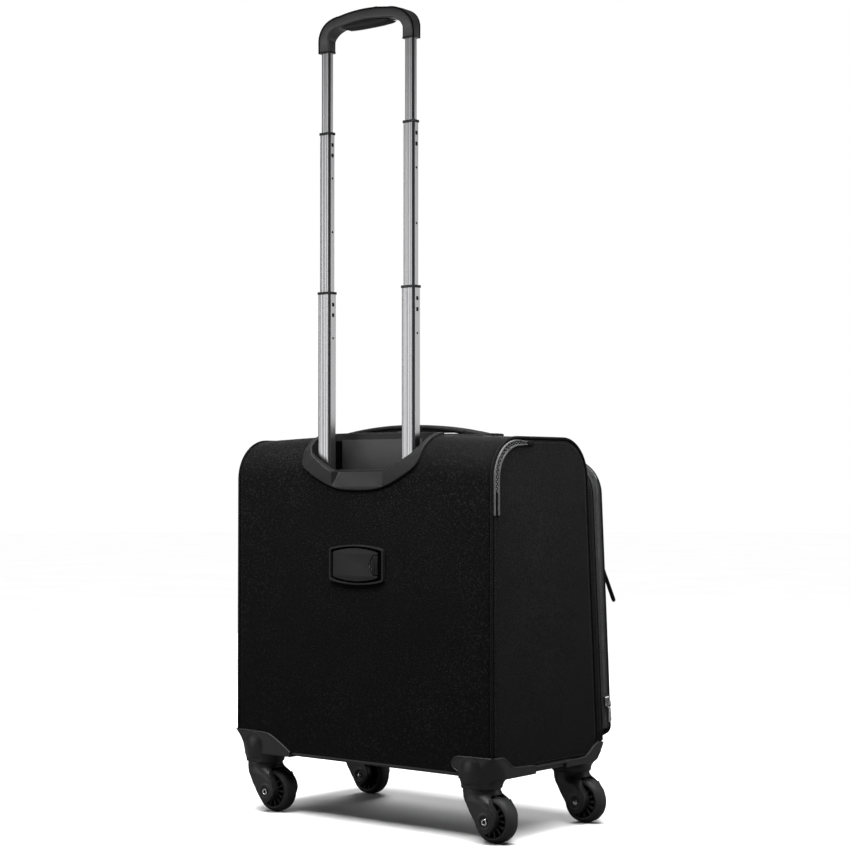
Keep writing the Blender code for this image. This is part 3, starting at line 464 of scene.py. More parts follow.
def cord_mesh(name, points, radius, closed=False, sides=2):
    """A round rope along a path."""
    curve = bpy.data.curves.new(name, "CURVE")
    curve.dimensions = "3D"
    curve.bevel_depth = radius
    curve.bevel_resolution = sides
    curve.use_fill_caps = not closed
    made = curve.splines.new("POLY")
    made.points.add(len(points) - 1)
    for point, at in zip(made.points, points):
        point.co = (*at, 1)
    made.use_cyclic_u = closed
    return bake(link(name, curve))


def surface(name, rows, closed=False, cyclic=False, poles=()):
    """A skin over rows of points. `closed` joins each row's ends, `cyclic` the last row to the first."""
    bm = bmesh.new()
    made = [[bm.verts.new(p) for p in row] for row in rows]
    pairs = list(zip(made, made[1:]))
    if cyclic:
        pairs.append((made[-1], made[0]))
    for low, high in pairs:
        count = len(low)
        for i in range(count if closed else count - 1):
            j = (i + 1) % count
            bm.faces.new((low[i], low[j], high[j], high[i]))
    for row, pole in zip((made[0], made[-1]), poles):
        if pole is None:
            continue
        tip = bm.verts.new(pole)
        for i in range(len(row)):
            bm.faces.new((row[i], row[(i + 1) % len(row)], tip))
    return from_bmesh(name, bm)


def add_loft(bm, rings, turn=-1):
    """Adds a solid through rings of points; `turn` is -1 or 1, whichever way the first ring runs."""
    made = [[bm.verts.new(p) for p in ring] for ring in rings]
    count = len(rings[0])
    for low, high in zip(made, made[1:]):
        for i in range(count):
            j = (i + 1) % count
            bm.faces.new((low[i], low[j], high[j], high[i]))
    bm.faces.new(made[0][::turn])
    bm.faces.new(made[-1][::-turn])


def closed_loft(name, rings, turn=-1):
    """A solid through rings of points, as an object."""
    bm = bmesh.new()
    add_loft(bm, rings, turn)
    return from_bmesh(name, bm)


def turned_about(count):
    """The cosine and sine at each of `count` even steps round a full turn."""
    angles = [2 * math.pi * k / count for k in range(count)]
    return [(math.cos(a), math.sin(a)) for a in angles]


def box(name, low, high):
    """An upright box between two corners."""
    bm = bmesh.new()
    bmesh.ops.create_cube(bm, size=1.0)
    bmesh.ops.scale(bm, vec=Vector(high) - Vector(low), verts=bm.verts)
    bmesh.ops.translate(bm, vec=(Vector(high) + Vector(low)) / 2, verts=bm.verts)
    return from_bmesh(name, bm)


def cylinder(name, foot, height, radius, top_radius=None, steps=48, turned=None):
    """A cylinder or cone standing on `foot`; `turned` swings it about that point."""
    bm = bmesh.new()
    bmesh.ops.create_cone(bm, cap_ends=True, segments=steps, radius1=radius,
                          radius2=radius if top_radius is None else top_radius, depth=height)
    bmesh.ops.translate(bm, vec=(0, 0, height / 2), verts=bm.verts)
    if turned is not None:
        bmesh.ops.transform(bm, matrix=turned, verts=bm.verts)
    bmesh.ops.translate(bm, vec=foot, verts=bm.verts)
    return from_bmesh(name, bm)


def spun(name, profile, steps=64):
    """A closed profile of (radius, height) points spun about Z."""
    rows = []
    for k in range(steps):
        angle = 2 * math.pi * k / steps
        rows.append([(r * math.cos(angle), r * math.sin(angle), z) for r, z in profile])
    return surface(name, rows, closed=True, cyclic=True)


def boolean(obj, operation, others):
    """`obj` after a boolean with each of the others, which are used up."""
    for other in others:
        modifier = obj.modifiers.new(operation.lower(), "BOOLEAN")
        modifier.operation = operation
        modifier.object = other
    made = bake(obj)
    for other in others:
        bpy.data.objects.remove(other, do_unlink=True)
    return made


def cut(obj, *others):
    """`obj` without the others, which are used up."""
    return boolean(obj, "DIFFERENCE", others)


def join(obj, *others):
    """`obj` fused with the others, which are used up."""
    return boolean(obj, "UNION", others)


def within(obj, *others):
    """The part of `obj` that lies inside all the others, which are used up."""
    return boolean(obj, "INTERSECT", others)


def bevelled(obj, width, segments=3):
    """`obj` with its sharp edges rounded to `width`."""
    modifier = obj.modifiers.new("bevel", "BEVEL")
    modifier.width = width
    modifier.segments = segments
    modifier.limit_method = "ANGLE"
    modifier.angle_limit = math.radians(30)
    return bake(obj)


def melted(obj, voxel):
    """A moulding's soft edges and fillets: an even remesh, smoothed."""
    remesh = obj.modifiers.new("remesh", "REMESH")
    remesh.mode = "VOXEL"
    remesh.voxel_size = voxel if FINE else voxel * 1.8
    relax = obj.modifiers.new("relax", "SMOOTH")
    relax.factor = 0.5
    relax.iterations = 3 if FINE else 1
    return bake(obj)


def thickened(obj, thickness, inner=0):
    """Gives an open skin its thickness, inwards; its inner faces take material slot `inner`."""
    solid = obj.modifiers.new("thickness", "SOLIDIFY")
    solid.thickness = thickness
    solid.offset = -1.0
    solid.material_offset = inner
    return bake(obj)


def facing_out(obj, outwards):
    """Turns an open skin's faces over if, taken together, they face away from `outwards`."""
    bm = bmesh.new()
    bm.from_mesh(obj.data)
    total = sum((f.normal * f.calc_area() for f in bm.faces), Vector())
    if total.dot(Vector(outwards)) < 0:
        bmesh.ops.reverse_faces(bm, faces=bm.faces)
    bm.to_mesh(obj.data)
    bm.free()
    return obj


# ---------------------------------------------------------------- seams and zips
def track(points, normals, closed=False):
    """Frames along a seam: place, direction, outwards and across."""
    made = []
    count = len(points)
    for i, (at, out) in enumerate(zip(points, normals)):
        ahead = points[(i + 1) % count] if closed else points[min(i + 1, count - 1)]
        behind = points[i - 1] if closed else points[max(i - 1, 0)]
        along = (ahead - behind).normalized()
        across = along.cross(out).normalized()
        made.append((at, along, across.cross(along).normalized(), across))
    return made


def spaced(frames, pitch):
    """Frames at even distances along a seam, the first half a pitch in."""
    travelled, due = 0.0, pitch / 2
    for (at, along, out, across), ahead in zip(frames, frames[1:]):
        step = (ahead[0] - at).length
        while due <= travelled + step:
            yield at.lerp(ahead[0], (due - travelled) / max(step, 1e-9)), along, out, across
            due += pitch
        travelled += step


def stitches(name, frames, aside=0.0, length=0.0026, pitch=0.0038):
    """A row of sewn stitches, each a short plump thread that dips into the cloth at both ends."""
    bm = bmesh.new()
    radius = 0.00036
    lengthwise = ((-0.5, 0.35, -1.0), (-0.3, 0.9, 0.1), (0.3, 0.9, 0.1), (0.5, 0.35, -1.0))
    turns = [math.pi * k / 2.5 for k in range(5)]
    for at, along, out, across in spaced(frames, pitch):
        centre = at + across * aside
        rings = []
        for share, width, lift in lengthwise:
            middle = centre + along * (length * share) + out * (radius * lift)
            rings.append([middle + (across * math.cos(a) + out * math.sin(a)) * radius * width
                          for a in turns])
        add_loft(bm, rings)
    return from_bmesh(name, bm)


def tape(name, frames, low, high, thickness=0.0007, lift=0.0, crown=0.0):
    """A woven tape along a seam, from `low` to `high` across it, its long edges rounded."""
    section = ((-1, 0), (-0.93, 0.7), (-0.5, 1 + crown), (0.0, 1 + 1.3 * crown), (0.5, 1 + crown),
               (0.93, 0.7), (1, 0), (0.93, -0.5), (-0.93, -0.5))
    middle = (low + high) / 2
    reach = (high - low) / 2
    rows = []
    for at, _, out, across in frames:
        ring = []
        for u, v in section:
            ring.append(at + across * (middle + reach * u) + out * (lift + thickness * v))
        rows.append(ring)
    obj = surface(name, rows, closed=True)
    bm = bmesh.new()
    bm.from_mesh(obj.data)
    bmesh.ops.holes_fill(bm, edges=[e for e in bm.edges if e.is_boundary])
    bmesh.ops.recalc_face_normals(bm, faces=bm.faces)
    bm.to_mesh(obj.data)
    bm.free()
    return obj


def coil_teeth(name, frames, pitch=0.0019, reach=0.0017, height=0.0011, lift=0.0, sides=(1, -1)):
    """The interlocking turns of a coil zip, as small rounded bars set alternately from both sides."""
    bm = bmesh.new()
    wide = pitch * 0.36
    lengthwise = ((-0.5, 0.6), (-0.35, 1.0), (0.35, 1.0), (0.5, 0.6))
    section = ((-1, 0), (-0.7, 0.8), (0.7, 0.8), (1, 0), (0.7, -0.5), (-0.7, -0.5))
    for turn, (at, along, out, across) in enumerate(spaced(frames, pitch)):
        side = sides[turn % len(sides)]
        middle = at + across * (side * reach * 0.35) + out * lift
        rings = []
        for share, size in lengthwise:
            heart = middle + across * (reach * share)
            rings.append([heart + along * (wide * u * size) + out * (height * v * size)
                          for u, v in section])
        add_loft(bm, rings)
    return from_bmesh(name, bm)


# ---------------------------------------------------------------- case shell
def case_outline(grow=0.0):
    """The side panels' outline in YZ, moved outwards by `grow`."""
    low, high, back = FOOT_Z - grow, TOP_Z + grow, BACK_Y + grow
    shift = grow / math.cos(LEAN)
    return rounded([
        (seam_y(low) - shift, low, FOOT_CORNER_R + grow),
        (back, low, 0),
        (back, high, TOP_CORNER_R + grow),
        (seam_y(high) - shift, high, TOP_CORNER_R + grow),
    ], step=5)


def crown(x, y, z):
    """How far the cloth stands out from the boards: most along the top, a little on the back and front."""
    share = min(1.0, abs(x) / HALF)
    rise = CROWN * (1 - share ** 2.2) * smoothstep(z, 0.425, 0.479)
    height = min(1.0, max(0.0, (z - FOOT_Z) / (TOP_Z - FOOT_Z)))
    rise += BELLY * (1 - share ** 4) * math.sin(math.pi * height)
    if z > TOP_Z - 0.01:
        rise -= 0.42 * CROWN * (1 - share ** 2.2) * math.exp(-((y - REAR_ZIP_Y) / 0.009) ** 2)
    waves = noise.noise(Vector((x * 9, y * 9 + z * 7, 4.0))) * 0.0007
    puckers = noise.noise(Vector((x, y, z)) * 34) * 0.00022
    return rise + (waves + puckers) * (1 - share ** 6)


def outward_normals(path, closed=False):
    """Unit normals of a YZ path on its right-hand side, which is out from the case."""
    made = []
    count = len(path)
    for i in range(count):
        ahead = path[(i + 1) % count] if closed else path[min(i + 1, count - 1)]
        behind = path[i - 1] if closed else path[max(i - 1, 0)]
        along = (ahead - behind).normalized()
        made.append(Vector((along.y, -along.x)))
    return made


def cover_point(x, at, normal, tuck=True):
    """A point of the cloth over the boards, pulled down into the seams at both edges."""
    rise = crown(x, at.x, at.y)
    if tuck:
        rise -= 0.0016 * (1 - smoothstep(HALF - 0.0012 - abs(x), 0.0, 0.0045))
    return Vector((x, at.x + normal.x * rise, at.y + normal.y * rise))


def cover(name, path):
    """Cloth over foam along a YZ path, from one side panel to the other."""
    half = HALF - 0.0012
    path = resampled(path, 0.0035)
    normals = outward_normals(path)
    edge = [0.0, 0.0008, 0.0018, 0.0032, 0.0050, 0.0075]
    count = 96
    inner = [(half - edge[-1]) * (1 - 2 * k / count) for k in range(1, count)]
    xs = [half - e for e in edge] + inner + [e - half for e in edge[::-1]]
    rows = [[cover_point(x, at, normal) for x in xs] for at, normal in zip(path, normals)]
    skin = surface(name, rows)
    middle = rows[len(rows) // 2][len(xs) // 2] - Vector((0, 0.03, 0.28))
    facing_out(skin, middle)
    skin.data.materials.append(FINISH["cloth"])
    skin.data.materials.append(FINISH["lining"])
    return thickened(skin, 0.0028, inner=1)


def case_block(name, grow):
    """The crowned case as one closed block."""
    loop = resampled(case_outline(grow), 0.004, closed=True)
    normals = outward_normals(loop, closed=True)
    reach = HALF + grow
    rows = []
    for k in range(57):
        x = reach * (1 - 2 * k / 56)
        rows.append([cover_point(x, at, n, tuck=False) for at, n in zip(loop, normals)])
    return closed_loft(name, rows, turn=1)


def smile_outline(grow=0.0):
    """Front view of the handle surround's outer edge."""
    half = spline([(0.000, 0.4168), (0.020, 0.4176), (0.037, 0.4200), (0.052, 0.4248), (0.066, 0.4310),
                   (0.078, 0.4372), (0.0885, 0.4435), (0.0950, 0.4500), (0.0975, 0.4580), (0.0985, 0.4700),
                   (0.1000, 0.5020)], 5)
    return mirrored([Vector((p.x + grow if p.x > 1e-6 else 0.0, p.y - grow)) for p in half])


def corner_radius(z):
    """Radius of the rear upright corners at height z: sharp on the case, round down by the casters."""
    steps = ((0.0700, 0.0300), (0.0760, 0.0285), (0.0820, 0.0262), (0.0880, 0.0225), (0.0930, 0.0175),
             (0.0975, 0.0120), (0.1010, 0.0065), (0.1035, 0.0020), (0.1060, 0.0004))
    if z <= steps[0][0]:
        return steps[0][1]
    for (low, first), (high, last) in zip(steps, steps[1:]):
        if z <= high:
            return first + (last - first) * (z - low) / (high - low)
    return steps[-1][1]


def corner_envelope(name, grow=0.0):
    """A block round the case whose rear corners have that radius."""
    rings = []
    for z in (-0.10, 0.0700, 0.0760, 0.0820, 0.0880, 0.0930, 0.0975, 0.1010, 0.1035, 0.1060, 0.7000):
        radius = corner_radius(z)
        x, y = HALF + GUARD_PROUD + grow, BACK_Y + GUARD_PROUD + grow
        if z > 0.2:
            x, y = x + 0.02, y + 0.02
        ring = []
        for sign in (1, -1):
            arc = [(x - radius + radius * math.cos(a), y - radius + radius * math.sin(a))
                   for a in (math.pi / 2 * k / 12 for k in range(13))]
            for u, v in (arc if sign > 0 else arc[::-1]):
                ring.append(Vector((sign * u, v, z)))
        ring += [Vector((-x, -0.4, z)), Vector((x, -0.4, z))]
        rings.append(ring)
    return closed_loft(name, rings)


def tucked(obj, margin=0.0032):
    """Pulls what would stick out through the corner guards' slanted corners back behind them."""
    for vertex in obj.data.vertices:
        at = vertex.co
        radius = corner_radius(at.z)
        reach = radius - margin
        centre_x, centre_y = HALF + GUARD_PROUD - radius, BACK_Y + GUARD_PROUD - radius
        out = Vector((abs(at.x) - centre_x, at.y - centre_y))
        if reach > 0 and out.x > 0 and out.y > 0 and out.length > reach:
            out *= reach / out.length
            at.x = math.copysign(centre_x + out.x, at.x)
            at.y = centre_y + out.y
    return obj


def make_shell():
    """Cloth over the back, the top and the front's foot, and the two sides."""
    back_path = rounded([
        (BACK_Y, FOOT_Z - 0.0004, 0), (BACK_Y, TOP_Z, TOP_CORNER_R), (REAR_ZIP_Y + 0.0034, TOP_Z, 0),
    ], closed=False, step=5)
    back = cover("back_cover", back_path)
    behind = Matrix.Translation((0, RECESS_FRONT_Y - 0.0034, 0)) @ UPRIGHT
    hole = prism("hole", [smile_outline(0.0002)], 0.1, behind, -0.05)
    add_piece(tucked(cut(back, hole)), "case", "cloth", "polyester", ["back_panel"])

    top_path = rounded([
        (REAR_ZIP_Y - 0.0034, TOP_Z, 0), (seam_y(TOP_Z), TOP_Z, TOP_CORNER_R), (seam_y(0.425), 0.425, 0),
    ], closed=False, step=5)
    add_piece(cover("top_cover", top_path), "case", "cloth", "polyester", ["top_panel"])

    skirt_path = rounded([
        (seam_y(0.118), 0.118, 0), (seam_y(FOOT_Z), FOOT_Z, FOOT_CORNER_R), (-0.0575, FOOT_Z, 0),
    ], closed=False, step=5)
    add_piece(cover("front_skirt", skirt_path), "case", "cloth", "polyester")
    for side, sign in SIDES:
        make_side(side, sign)


def side_rings(sign):
    """Rings of a padded side panel: tucked in at its edge, swelling to its middle."""
    loop = resampled(case_outline(), 0.0045, closed=True)
    middle = sum(loop, Vector((0, 0))) / len(loop)
    rings = []
    profile = [(-0.0003, -0.0034), (0.0, -0.0016), (0.0012, -0.0005), (0.0026, 0.0002), (0.0042, 0.0005)]
    for inset, rise in profile:
        rings.append([(p, rise) for p in inset_loop(loop, inset)])
    last = [p for p, _ in rings[-1]]
    for share in (0.02, 0.045, 0.08, 0.13, 0.2, 0.28, 0.37, 0.47, 0.58, 0.69, 0.8, 0.9, 0.96):
        rise = 0.0005 + 0.0018 * math.sin(share * math.pi / 2) ** 0.6
        rings.append([(p.lerp(middle, share), rise) for p in last])

    def place(p, rise):
        ripple = noise.noise(Vector((p.x * 16, p.y * 11, sign * 3.0))) * 0.0006
        return Vector((sign * (HALF - 0.0006 + rise + ripple * min(1.0, max(0.0, rise / 0.001))), p.x, p.y))

    return [[place(p, rise) for p, rise in ring] for ring in rings], place(middle, 0.0023), loop


def make_side(side, sign):
    """One padded side with its piping, near-black cords as painted seam shadows, and its stitches."""
    rows, tip, loop = side_rings(sign)
    skin = facing_out(surface(f"side_cover_{side}", rows, closed=True, poles=(None, tip)), (sign, 0, 0))
    skin.data.materials.append(FINISH["cloth"])
    skin.data.materials.append(FINISH["lining"])
    padded = tucked(thickened(skin, 0.0026, inner=1))
    add_piece(padded, "case", "cloth", "polyester", [f"side_panel_{side}"])

    def edge(inset, out):
        return [Vector((sign * (HALF + out), p.x, p.y)) for p in inset_loop(loop, inset)]

    piping = cord_mesh(f"piping_{side}", edge(-0.0003, -0.0010), 0.00165, closed=True, sides=3)
    add_piece(tucked(piping), "case", "edge_cloth", "polyester")
    # Near-black cords along the piping's seams: painted seam shadows.
    groove = cord_mesh(f"side_seam_shadow_{side}", edge(0.0019, -0.0006), 0.00085, closed=True, sides=2)
    add_piece(tucked(groove), "case", "groove", "polyester")
    groove = cord_mesh(f"cover_seam_shadow_{side}", edge(0.0003, -0.0030), 0.0009, closed=True, sides=2)
    add_piece(tucked(groove, 0.0046), "case", "groove", "polyester")
    seam = edge(0.0060, 0.0)
    frames = track(seam, [Vector((sign, 0, 0))] * len(seam), closed=True)
    seam = stitches(f"side_stitches_{side}", [*frames, frames[0]])
    add_piece(tucked(seam, 0.0036), "case", "thread", "polyester")


def make_tray():
    """Moulded base between the four corner guards, ribbed underneath, with its edging strips."""
    low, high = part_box("bottom_tray")
    low, high = low - SHIFT, high - SHIFT
    parts = [bevelled(box("tray", low, high), 0.0012, 2)]
    rib_low, rib_high, rib_half = low.z - 0.0016, low.z + 0.001, 0.0012
    for k in range(7):
        x = -0.12 + 0.04 * k
        rib = box("rib", (x - rib_half, -0.048, rib_low), (x + rib_half, 0.112, rib_high))
        parts.append(bevelled(rib, rib_half / 2, 2))
    for y in (-0.040, 0.104):
        rib = box("rib", (-0.128, y - rib_half, rib_low), (0.128, y + rib_half, rib_high))
        parts.append(bevelled(rib, rib_half / 2, 2))
    head = [(0.0001, low.z - 0.0018), (0.0030, low.z - 0.0016), (0.0042, low.z - 0.0004),
            (0.0042, low.z + 0.001), (0.0001, low.z + 0.001)]
    for x in (-0.14, 0.14):
        for y in (-0.02, 0.085):
            parts.append(spun("screw", head, 24))
            parts[-1].data.transform(Matrix.Translation((x, y, 0)))
    parts[0] = within(parts[0], corner_envelope("envelope", -0.0024))
    add_piece(joined("base_tray", parts), "case", "guard", "moulded_plastic", ["bottom_tray"])
    for side, sign in SIDES:
        strip = [Vector((sign * (HALF + 0.0002), y, FOOT_Z + 0.0010)) for y in (-0.030, -0.01, 0.02, 0.05)]
        strip = cord_mesh(f"base_strip_{side}", strip, 0.0024, sides=4)
        add_piece(strip, "case", "guard", "moulded_plastic")


# ---------------------------------------------------------------- front
def lid_ring(inset, depth, foot=0.0):
    """The lid's outline on the leaning front, moved inwards by `inset` at `depth`."""
    half = LID_HALF_WIDTH - inset
    low, high = inset - foot, LID_HEIGHT - inset
    corners = rounded([
        (-half, low, max(0.0015, LID_FOOT_R - inset)), (half, low, max(0.0015, LID_FOOT_R - inset)),
        (half, high, LID_TOP_R - inset), (-half, high, LID_TOP_R - inset),
    ], step=5)
    points = []
    for here, ahead in zip(corners, [*corners[1:], corners[0]]):
        parts = 40 if (ahead - here).length > 0.1 else 1
        points += [here.lerp(ahead, k / parts) for k in range(parts)]
    return [on_front(p.x, p.y, depth) for p in points]


def ring_normals(ring):
    """Outward normals of a ring that lies in a plane parallel to the leaning front."""
    facing = facing_front()
    made = []
    count = len(ring)
    for i in range(count):
        along = (ring[(i + 1) % count] - ring[i - 1]).normalized()
        made.append(along.cross(facing).normalized())
    return made


def edge_track(inset, depth, first=0.0, last=1.0):
    """Frames along the lid's edge; the ring starts at the foot of its -X side and runs anticlockwise."""
    ring = lid_ring(inset, depth)
    middle = on_front(0, LID_HEIGHT / 2, depth)
    normals = ring_normals(ring)
    if (ring[0] - middle).dot(normals[0]) < 0:
        normals = [-n for n in normals]
    count = len(ring)
    low, high = round(first * count), round(last * count)
    places = [i % count for i in range(low, high)]
    return track([ring[i] for i in places], [normals[i] for i in places])


def open_side(inset, depth):
    """Frames up the lid's right side, over its top and down its left, leaving out the hinged foot."""
    ring = lid_ring(inset, depth)
    frames = edge_track(inset, depth, 0, 2)[:len(ring) * 2 - 1]
    base = on_front(0, 0, depth)
    up = (FRONT.to_3x3() @ Vector((0, 0, 1)))
    start = next(i for i, f in enumerate(frames) if (f[0] - base).dot(up) > 0.012 and f[0].x > 0)
    stop = next(i for i in range(start + 40, len(frames)) if (frames[i][0] - base).dot(up) < 0.012)
    return frames[start:stop]


def make_band():
    """The cloth band round the mouth of the main compartment, with the case's half of the main zip."""
    section = [(0.0012, -0.012), (0.0004, -0.003), (-0.0003, 0.002), (-0.0007, 0.006), (-0.0006, 0.0100),
               (0.0002, 0.0126), (0.0010, 0.0133), (0.0004, 0.0140), (0.0003, 0.0180), (0.0009, 0.0194),
               (0.0026, 0.0200), (0.0120, 0.0200), (0.0134, 0.0194), (0.0140, 0.0180), (0.0143, 0.0040),
               (0.0142, -0.012)]
    rows = [lid_ring(inset, depth, 0.0022) for inset, depth in section]
    band = surface("front_band", rows, closed=True, cyclic=True)
    add_piece(band, "case", "cloth", "polyester", ["front_frame"])
    run = open_side(0.0, FRAME_DEPTH - 0.0030)
    strip = tape("zip_tape_case", run, -0.0031, 0.0026, 0.0007, lift=0.0001)
    add_piece(strip, "case", "zip_tape", "zip_tape", ["main_zip_case_half"])
    teeth = coil_teeth("zip_teeth_case", open_side(-0.0004, ZIP_DEPTH - 0.0006), sides=(1,))
    add_piece(teeth, "case", "coil", "zip_tape")
    add_piece(stitches("band_stitches", open_side(-0.0001, 0.0153)), "case", "thread", "polyester")
    # Near-black cords along the band's groove and its seam: painted shadows.
    groove = [at for at, _, _, _ in open_side(0.0004, 0.0133)]
    add_piece(cord_mesh("band_groove_shadow", groove, 0.0007), "case", "groove", "polyester")
    seam = [at for at, _, _, _ in open_side(0.0008, -0.0008)]
    add_piece(cord_mesh("band_seam_shadow", seam, 0.0011), "case", "groove", "polyester")
    for side, sign in SIDES:
        outline = [(sign * 0.2070, 0.0160), (sign * 0.2070, -0.0040), (sign * 0.1880, -0.0040),
                   (sign * 0.1880, 0.0160)]
        gusset = prism(f"foot_gusset_{side}", [outline], 0.0290, FRONT @ UPRIGHT, 0.0045)
        add_piece(bevelled(gusset, 0.0030, 4), "case", "cloth", "polyester")


def make_lid():
    """The padded front: a soft shell with a rounded, piped edge and a lined hollow behind."""
    facing = facing_front()
    wall = 0.0055
    floor = LID_FRONT - wall
    section = [(0.030, floor), (0.012, floor), (wall + 0.0022, floor), (wall + 0.0006, floor - 0.0010),
               (wall, floor - 0.0030), (wall, LID_BACK + 0.0012), (wall - 0.0010, LID_BACK),
               (0.0014, LID_BACK), (0.0003, LID_BACK + 0.0008), (0.0000, LID_BACK + 0.0050)]
    for k in range(9):
        angle = math.pi / 2 * k / 8
        inset = LID_EDGE_R * (1 - math.cos(angle))
        section.append((inset, LID_FRONT - LID_EDGE_R * (1 - math.sin(angle))))
    rows = [lid_ring(inset, depth) for inset, depth in section]

    def towards_middle(ring, depth, shares, swell):
        middle = on_front(0, LID_HEIGHT / 2, depth)
        made = []
        for share in shares:
            rise = facing * (swell * math.sin(share * math.pi / 2))
            made.append([p.lerp(middle, share) + rise for p in ring])
        return made, middle + facing * swell

    inner, inner_tip = towards_middle(rows[0], floor, (0.85, 0.7, 0.5, 0.3, 0.14), 0.0)
    outer_shares = (0.04, 0.1, 0.2, 0.35, 0.5, 0.65, 0.8, 0.92)
    outer, outer_tip = towards_middle(rows[-1], LID_FRONT, outer_shares, 0.0003)
    shell = surface("lid_cover", [*inner, *rows, *outer], closed=True, poles=(inner_tip, outer_tip))
    shell.data.materials.append(FINISH["cloth"])
    shell.data.materials.append(FINISH["lining"])
    heart = on_front(0, LID_HEIGHT / 2, floor)
    for face in shell.data.polygons:
        depth = (face.center - heart).dot(facing)
        inside = abs(face.center.x) < LID_HALF_WIDTH - wall + 0.0008
        if inside and LID_BACK - floor + 0.0006 < depth < 0.001 and face.normal.dot(facing) < 0.5:
            face.material_index = 1
    add_piece(shell, "lid", "cloth", "polyester", ["lid_shell"])

    turn = LID_EDGE_R * (1 - math.cos(math.radians(45)))
    edge = lid_ring(turn - 0.0002, LID_FRONT - turn + 0.0002)
    piping = cord_mesh("lid_piping", edge, 0.0016, closed=True, sides=3)
    add_piece(piping, "lid", "edge_cloth", "polyester")
    seam = edge_track(0.0118, LID_FRONT + 0.0002)
    add_piece(stitches("lid_stitches", [*seam, seam[0]]), "lid", "thread", "polyester")
    run = open_side(0.0, LID_BACK + 0.0030)
    strip = tape("zip_tape_lid", run, -0.0026, 0.0030, 0.0007, lift=0.0001)
    add_piece(strip, "lid", "zip_tape", "zip_tape")
    teeth = coil_teeth("zip_teeth_lid", open_side(-0.0004, ZIP_DEPTH + 0.0006), sides=(-1,))
    add_piece(teeth, "lid", "coil", "zip_tape")

    hinge = []
    for k in range(13):
        depth = 0.0130 + 0.0140 * k / 12
        sag = 0.0003 + 0.0009 * math.sin(math.pi * k / 12)
        drop = 0.0022 * max(0.0, 1 - k / 7)
        hinge.append([on_front(0.186 * (1 - 2 * i / 60), -drop - sag, depth) for i in range(61)])
    strip = facing_out(surface("lid_hinge_cloth", hinge), (0, 0, -1))
    strip = add_piece(thickened(strip, 0.0009), None, "edge_cloth", "polyester")
    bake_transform(strip)


def inflated(obj, voxel, pressure, cap):
    """Blows a closed form up with a cloth simulation, no point moving further than `cap`."""
    remesh = obj.modifiers.new("remesh", "REMESH")
    remesh.mode = "VOXEL"
    remesh.voxel_size = voxel
    obj = bake(obj)
    frames = 20
    rest = [v.co.copy() for v in obj.data.vertices]
    if FINE:
        cloth = obj.modifiers.new("cloth", "CLOTH")
        cloth.settings.use_pressure = True
        cloth.settings.uniform_pressure_force = pressure
        cloth.settings.tension_stiffness = cloth.settings.compression_stiffness = 12
        cloth.settings.effector_weights.gravity = 0.0
        cloth.point_cache.frame_end = frames
        scene = bpy.context.scene
        for at in range(1, frames + 1):
            scene.frame_set(at)
        obj = bake(obj)
        scene.frame_set(1)
    for vertex, start in zip(obj.data.vertices, rest):
        moved = vertex.co - start
        if moved.length > cap:
            vertex.co = start + moved * (cap / moved.length)
    return obj


def pad(name, corners, depth, base, pressure, cap, border):
    """A stuffed panel on the lid's front: a rounded slab, inflated, its seam border pulled down."""
    loop = rounded(corners, step=15)
    slab = prism(name, [loop], depth, FRONT @ UPRIGHT, base + depth / 2)
    slab = inflated(slab, 0.0045, pressure, cap)
    back = FRONT.inverted()
    seam = [Vector(p) for p in resampled(loop, 0.006, closed=True)]
    for vertex in slab.data.vertices:
        local = back @ vertex.co
        reach = min((Vector((local.x, local.z)) - p).length for p in seam)
        out = -local.y - base
        held = smoothstep(reach, 0.0, border)
        target = min(max(out, -0.0002), depth + cap)
        quilt = 0.0006 * noise.noise(Vector((local.x * 14, 9.0, local.z * 14)))
        target = target * (0.55 + 0.45 * held) + quilt * held * (out > depth * 0.5)
        vertex.co = FRONT @ Vector((local.x, -(base + target), local.z))
    relax = slab.modifiers.new("relax", "SMOOTH")
    relax.iterations = 4
    finer = slab.modifiers.new("finer", "SUBSURF")
    finer.levels = finer.render_levels = 1
    return bake(slab)


def front_track(points, depth):
    """Frames along (x, z) points on the leaning front."""
    path = [on_front(x, z, depth) for x, z in points]
    return track(path, [facing_front()] * len(path))


POCKET_LOW, POCKET_HIGH, POCKET_SPLIT = 0.0185, 0.3325, 0.205


